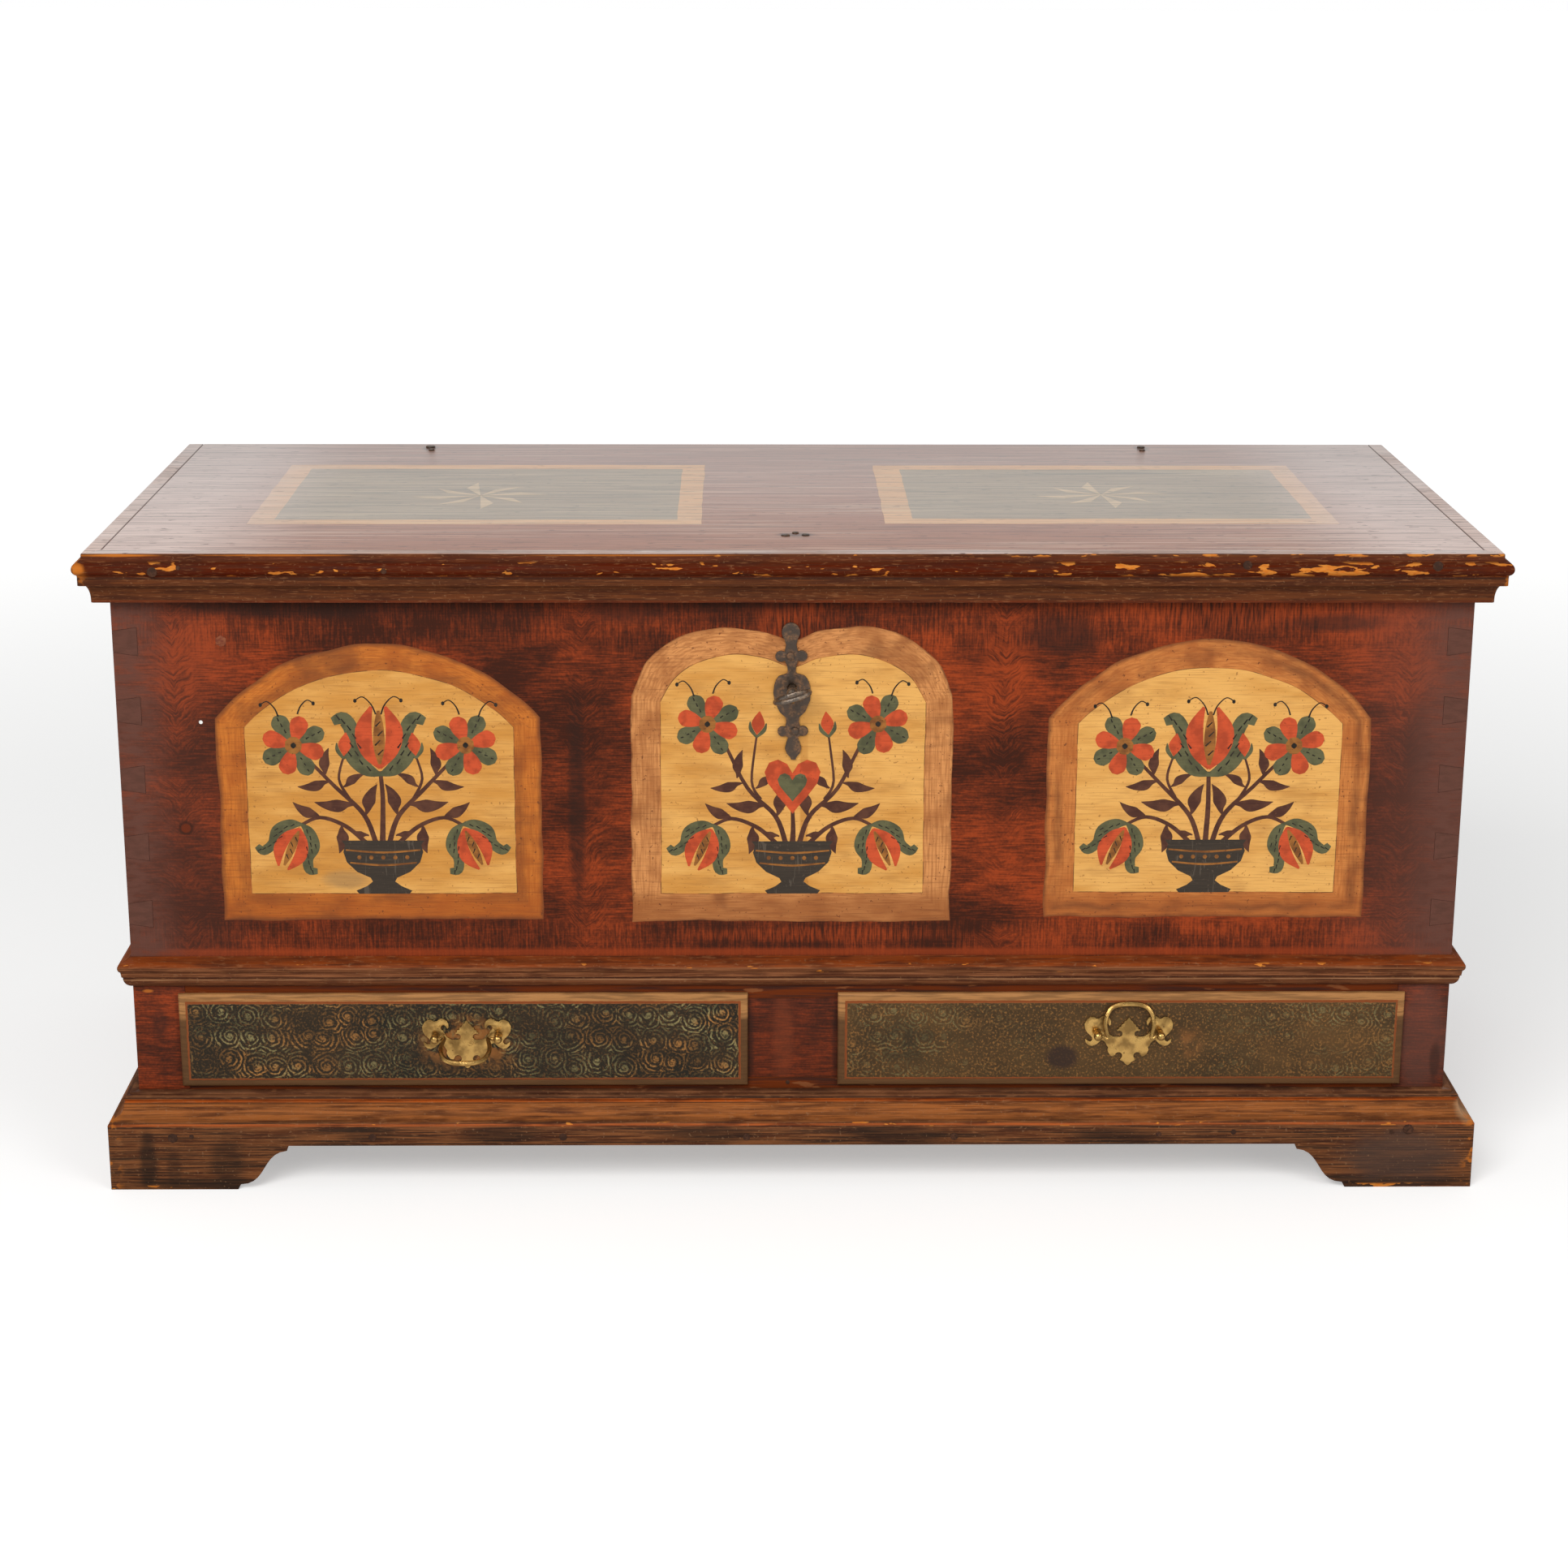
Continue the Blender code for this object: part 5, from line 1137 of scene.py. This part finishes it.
# The drawers: softwood boxes with lipped fronts.  The field of each front is dark green,
# dabbed with rosettes in olive and ochre; the lip round it is tan.
rosettes_a_metre = 40
ring_pitch = 0.0045
shake_reach = (0.004, 0.004, 0)
lip_tan = (0.400, 0.185, 0.062)
lip_brown = (0.075, 0.034, 0.013)
lip_line = (0.250, 0.066, 0.018)
line_inset, field_inset, line_soft = 0.0022, 0.0095, 0.0004
olive = (0.270, 0.225, 0.095)
dull_ochre = (0.400, 0.180, 0.050)
drawer_pale, drawer_dark = (0.540, 0.340, 0.170), (0.330, 0.175, 0.078)


def stamped_paint(name, front, clear, field_dark, field_brown, fleck_share, shown_middle):
    """A drawer front's paint: rosettes dabbed over the field, and the tan lip round it."""
    low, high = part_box(front)
    paint = Finish(name, 0.48, gloss=0.12)
    flat = paint.add("CombineXYZ", {0: paint.x, 1: paint.z}).outputs[0]
    shake = paint.add("TexNoise", {"Vector": flat, "Scale": 60.0}).outputs["Color"]
    shake = paint.add("VectorMath", {0: shake, 1: shake_reach}, operation="MULTIPLY").outputs[0]
    shaken = paint.add("VectorMath", {0: flat, 1: shake}, operation="ADD").outputs[0]
    dab = paint.add("TexVoronoi", {"Vector": shaken, "Scale": rosettes_a_metre,
                                   "Randomness": 0.55}, voronoi_dimensions="2D")
    from_middle = paint.add("VectorMath", {0: shaken, 1: dab.outputs["Position"]},
                            operation="SUBTRACT").outputs[0]
    away = paint.add("VectorMath", {0: from_middle}, operation="LENGTH").outputs["Value"]
    across, up, _ = paint.add("SeparateXYZ", {0: from_middle}).outputs
    spin = paint.plus(paint.maths("ARCTAN2", up, across), paint.noise(120, 2.0), 8.0)
    arcs = paint.step(paint.maths("SINE", paint.plus(spin, away, math.tau / ring_pitch)),
                      0.05, 0.65)
    arcs = paint.both(arcs, paint.mottle(105, 0.34, 0.54, 6.0, detail=2.0))
    beneath = paint.step(paint.plus(up, away, -0.4), 0.004, -0.009)
    heart = paint.step(away, 0.0036, 0.0022)
    shape = paint.maths("MAXIMUM", paint.both(arcs, paint.plus(0.45, beneath, 0.55)),
                        paint.both(heart, 0.8))
    shape = paint.both(shape, paint.mottle(420, 0.32, 0.56, 9.0, detail=2.0))
    shape = paint.both(shape, paint.mottle((14, 14, 26), 0.30, 0.56, 5.0, detail=4.0))
    from_pull = paint.maths("ABSOLUTE", paint.minus(paint.x, (low.x + high.x) / 2))
    shown_share = paint.choose(paint.step(from_pull, 0.05, 0.24), shown_middle, 1.0)
    shape = paint.both(paint.both(shape, shown_share), clear)
    hue = paint.blend(paint.mottle((16, 16, 30), 0.46, 0.60, 7.0), olive, dull_ochre)
    tone = paint.blend(paint.mottle((16, 16, 24), 0.26, 0.74, 3.0, detail=6.0), field_dark,
                       field_brown)
    tone = paint.blend(shape, tone, hue)
    tone = paint.over(tone, paint.mottle(430, 0.52, 0.68, 8.0), fleck_share, dull_ochre)
    ragged = paint.plus(-0.0008, paint.noise(220, 4.0), 0.0016)
    side_way = paint.maths("MINIMUM", paint.minus(paint.x, low.x), paint.minus(high.x, paint.x))
    up_way = paint.maths("MINIMUM", paint.minus(paint.z, low.z), paint.minus(high.z, paint.z))
    inward = paint.maths("ADD", paint.maths("MINIMUM", side_way, up_way), ragged)
    lip = paint.over(lip_tan, paint.mottle((24, 24, 420), 0.40, 0.62, 1.0, 5.0), 0.5, lip_brown)
    lip = paint.over(lip, paint.step(paint.z, high.z - 0.020, high.z - 0.030), 0.88, lip_brown)
    lip = paint.blend(paint.between(inward, field_inset - line_inset, field_inset, line_soft),
                      lip, lip_line)
    field = paint.step(inward, field_inset - line_soft, field_inset + line_soft)
    paint.relief(paint.plus(paint.noise((12, 12, 500), 3.0), shape, 0.5), 0.0003)
    paint.whole_tone = paint.blend(field, lip, tone)
    return paint


def show_drawer(paint, front, tone):
    """Give a drawer front its paint before, and bare wood behind."""
    low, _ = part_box(front)
    wood, _ = wood_tone(paint, drawer_pale, drawer_dark, across_grain)
    behind_lip = paint.step(paint.y, low.y + 0.0070, low.y + 0.0085)
    paint.colour(paint.blend(behind_lip, tone, wood))


left_stamped = stamped_paint("left_drawer_paint", "left_drawer_front", 1.0,
                             (0.014, 0.013, 0.009), (0.034, 0.022, 0.012), 0.22, 0.65)
left_tone = left_stamped.marked(
    left_stamped.whole_tone, (((-0.170, 0.150), (0.120, 0.060), (0.018, 0.014, 0.009), 0.55),),
    left_stamped.mottle(22, 0.36, 0.60, 4.0, 4.0), soft=0.9)
left_tone = left_stamped.marked(
    left_tone, (((-0.3295, 0.150), (0.062, 0.036), (0.330, 0.125, 0.030), 0.75),),
    left_stamped.mottle(90, 0.42, 0.58, 9.0), soft=0.7)
show_drawer(left_stamped, "left_drawer_front", left_tone)
right_stamped = stamped_paint("right_drawer_paint", "right_drawer_front", 0.52,
                              (0.048, 0.028, 0.012), (0.090, 0.048, 0.017), 0.46, 0.15)
right_tone = right_stamped.marked(
    right_stamped.whole_tone, (
        ((0.115, 0.150), (0.058, 0.040), (0.022, 0.019, 0.011), 0.60),
        ((0.530, 0.145), (0.110, 0.036), (0.125, 0.060, 0.020), 0.45),
        ((0.403, 0.152), (0.018, 0.024), (0.260, 0.100, 0.028), 0.60)),
    right_stamped.mottle(60, 0.34, 0.60, 9.0, 4.0), soft=0.8)
right_tone = right_stamped.marked(
    right_tone, (((0.274, 0.1345), (0.021, 0.016), (0.032, 0.018, 0.014), 0.85),),
    soft=0.5, ragged=0.3)
show_drawer(right_stamped, "right_drawer_front", right_tone)

drawer_wood = bare_board("drawer_board_wood", drawer_pale, drawer_dark, deep_grain)
guide_wood = bare_board("guide_wood", (0.420, 0.250, 0.120), (0.250, 0.125, 0.055), (55, 3, 55))
for side, stamped in (("left", left_stamped), ("right", right_stamped)):
    worn(side + "_drawer_front", 0.0006, side + "_drawer", stamped, 0.6)
    coat(drawer_wood, *(side + "_drawer_" + part for part in (
        "back", "bottom", "side_left", "side_right")))
coat(guide_wood, "left_drawer_guide", "centre_drawer_guide", "right_drawer_guide")

# The pulls: cut brass plates with filed edges, two turned posts in each, and a cast bail that
# hangs from the posts.  The brass is mellow, and darker where it isn't handled.
brass_bright, brass_dull = (0.510, 0.310, 0.098), (0.250, 0.145, 0.046)
brass_spots = (0.090, 0.048, 0.018)
brass = Finish("pull_brass", 0.34, metallic=1.0)
patina = brass.mottle(75, 0.38, 0.64, 2.0, detail=4.0)
brass.colour(brass.over(brass.blend(patina, brass_bright, brass_dull),
                        brass.mottle(260, 0.66, 0.72, 8.0, detail=2.0), 0.6, brass_spots))
brass.rough(brass.choose(patina, 0.26, 0.44))
brass.relief(brass.noise(420, 5.0, detail=2.0), 0.00018)
for side in ("left", "right"):
    worn(side + "_pull_plate", 0.0005, side + "_drawer", brass)
    coat(brass, side + "_pull_post_left", side + "_pull_post_right", side + "_bail")

# The base: three mitred boards with a cove and bead run along their top edge, sawn out below
# to leave a bracket foot at each end, and glued to blocks inside the corners.
arris_z = 0.0695
base_face = 0.0283
cove_tan = (0.330, 0.105, 0.026)
apron_brown, apron_dark = (0.195, 0.070, 0.025), (0.044, 0.022, 0.013)
foot_black, foot_grey = (0.018, 0.013, 0.010), (0.068, 0.041, 0.031)
base_paint = moulding_paint(
    "base_paint", apron_brown, apron_dark,
    ((arris_z + 0.003, 0.0885, 0.0015, cove_tan, 0.90),
     (arris_z - 0.0010, arris_z + 0.0014, 0.0006, (0.400, 0.090, 0.020), 0.9),
     (0.0888, 0.0925, 0.0006, (0.400, 0.080, 0.010), 0.95),
     # Two thin dark lines of painted shade in the quirks either side of the bead.
     (0.0873, 0.0883, 0.0004, smoke_and_shade, 0.7),
     (0.0930, 0.0947, 0.0004, smoke_and_shade, 0.8),
     (0.0948, 0.0990, 0.0006, (0.180, 0.070, 0.030), 0.8)),
    ((arris_z - 0.0012, arris_z + 0.0024), (0.0, 0.004)), 0.66,
    (((-0.654, 0.030), (0.012, 0.048), foot_black, 0.7),
     ((-0.628, 0.022), (0.010, 0.030), foot_black, 0.4),
     ((-0.574, 0.030), (0.024, 0.040), foot_black, 0.55),
     ((-0.590, 0.006), (0.110, 0.008), foot_black, 0.7),
     ((0.600, 0.006), (0.110, 0.008), foot_black, 0.7),
     ((0.620, 0.034), (0.080, 0.040), foot_grey, 0.75),
     ((-0.430, 0.060), (0.040, 0.010), foot_black, 0.5),
     ((-0.300, 0.058), (0.050, 0.013), foot_black, 0.6),
     ((-0.080, 0.060), (0.060, 0.012), foot_black, 0.6),
     ((0.110, 0.058), (0.080, 0.013), foot_black, 0.65),
     ((0.330, 0.057), (0.070, 0.012), foot_black, 0.6),
     ((0.688, 0.084), (0.016, 0.017), (0.420, 0.250, 0.130), 0.9)))
for side in ("front", "left", "right"):
    worn("base_" + side, 0.0009, "case", base_paint, 0.7)
for number, (x, z, radius) in enumerate((
        (-0.628, 0.0564, 0.0050), (-0.609, 0.0576, 0.0025), (-0.426, 0.0567, 0.0040),
        (-0.233, 0.0567, 0.0040), (-0.047, 0.0563, 0.0038), (0.164, 0.0565, 0.0040),
        (0.372, 0.0585, 0.0028), (0.448, 0.0608, 0.0028), (0.6095, 0.0604, 0.0025),
        (0.626, 0.0633, 0.0055))):
    stud("base_nail_%d" % number, (x, face_y - base_face, z), radius, 0.0006, 12, 0.0005,
         nail_iron, "case")
stud("bay_floor_nail", (-0.005, face_y, 0.1046), 0.0022, 0.0005, 10, 0.0004, nail_iron,
     "case")

# Behind and inside: rear feet and glue blocks of rough softwood, and the till, whose front,
# bottom and lid are housed in the case at its left end.
block_wood = bare_board("block_wood", (0.360, 0.215, 0.105), (0.200, 0.100, 0.046), (50, 50, 4))
foot_wood = bare_board("rear_foot_wood", (0.210, 0.115, 0.058), (0.110, 0.055, 0.030),
                       (4, 50, 50))
till_wood = bare_board("till_wood", (0.560, 0.350, 0.175), (0.360, 0.195, 0.090), (50, 3, 50))
coat(block_wood, "back_left_glue_block", "back_right_glue_block", "front_left_glue_block",
     "front_right_glue_block")
coat(foot_wood, "rear_foot_left", "rear_foot_right")
coat(till_wood, "till_bottom", "till_front", "till_lid")
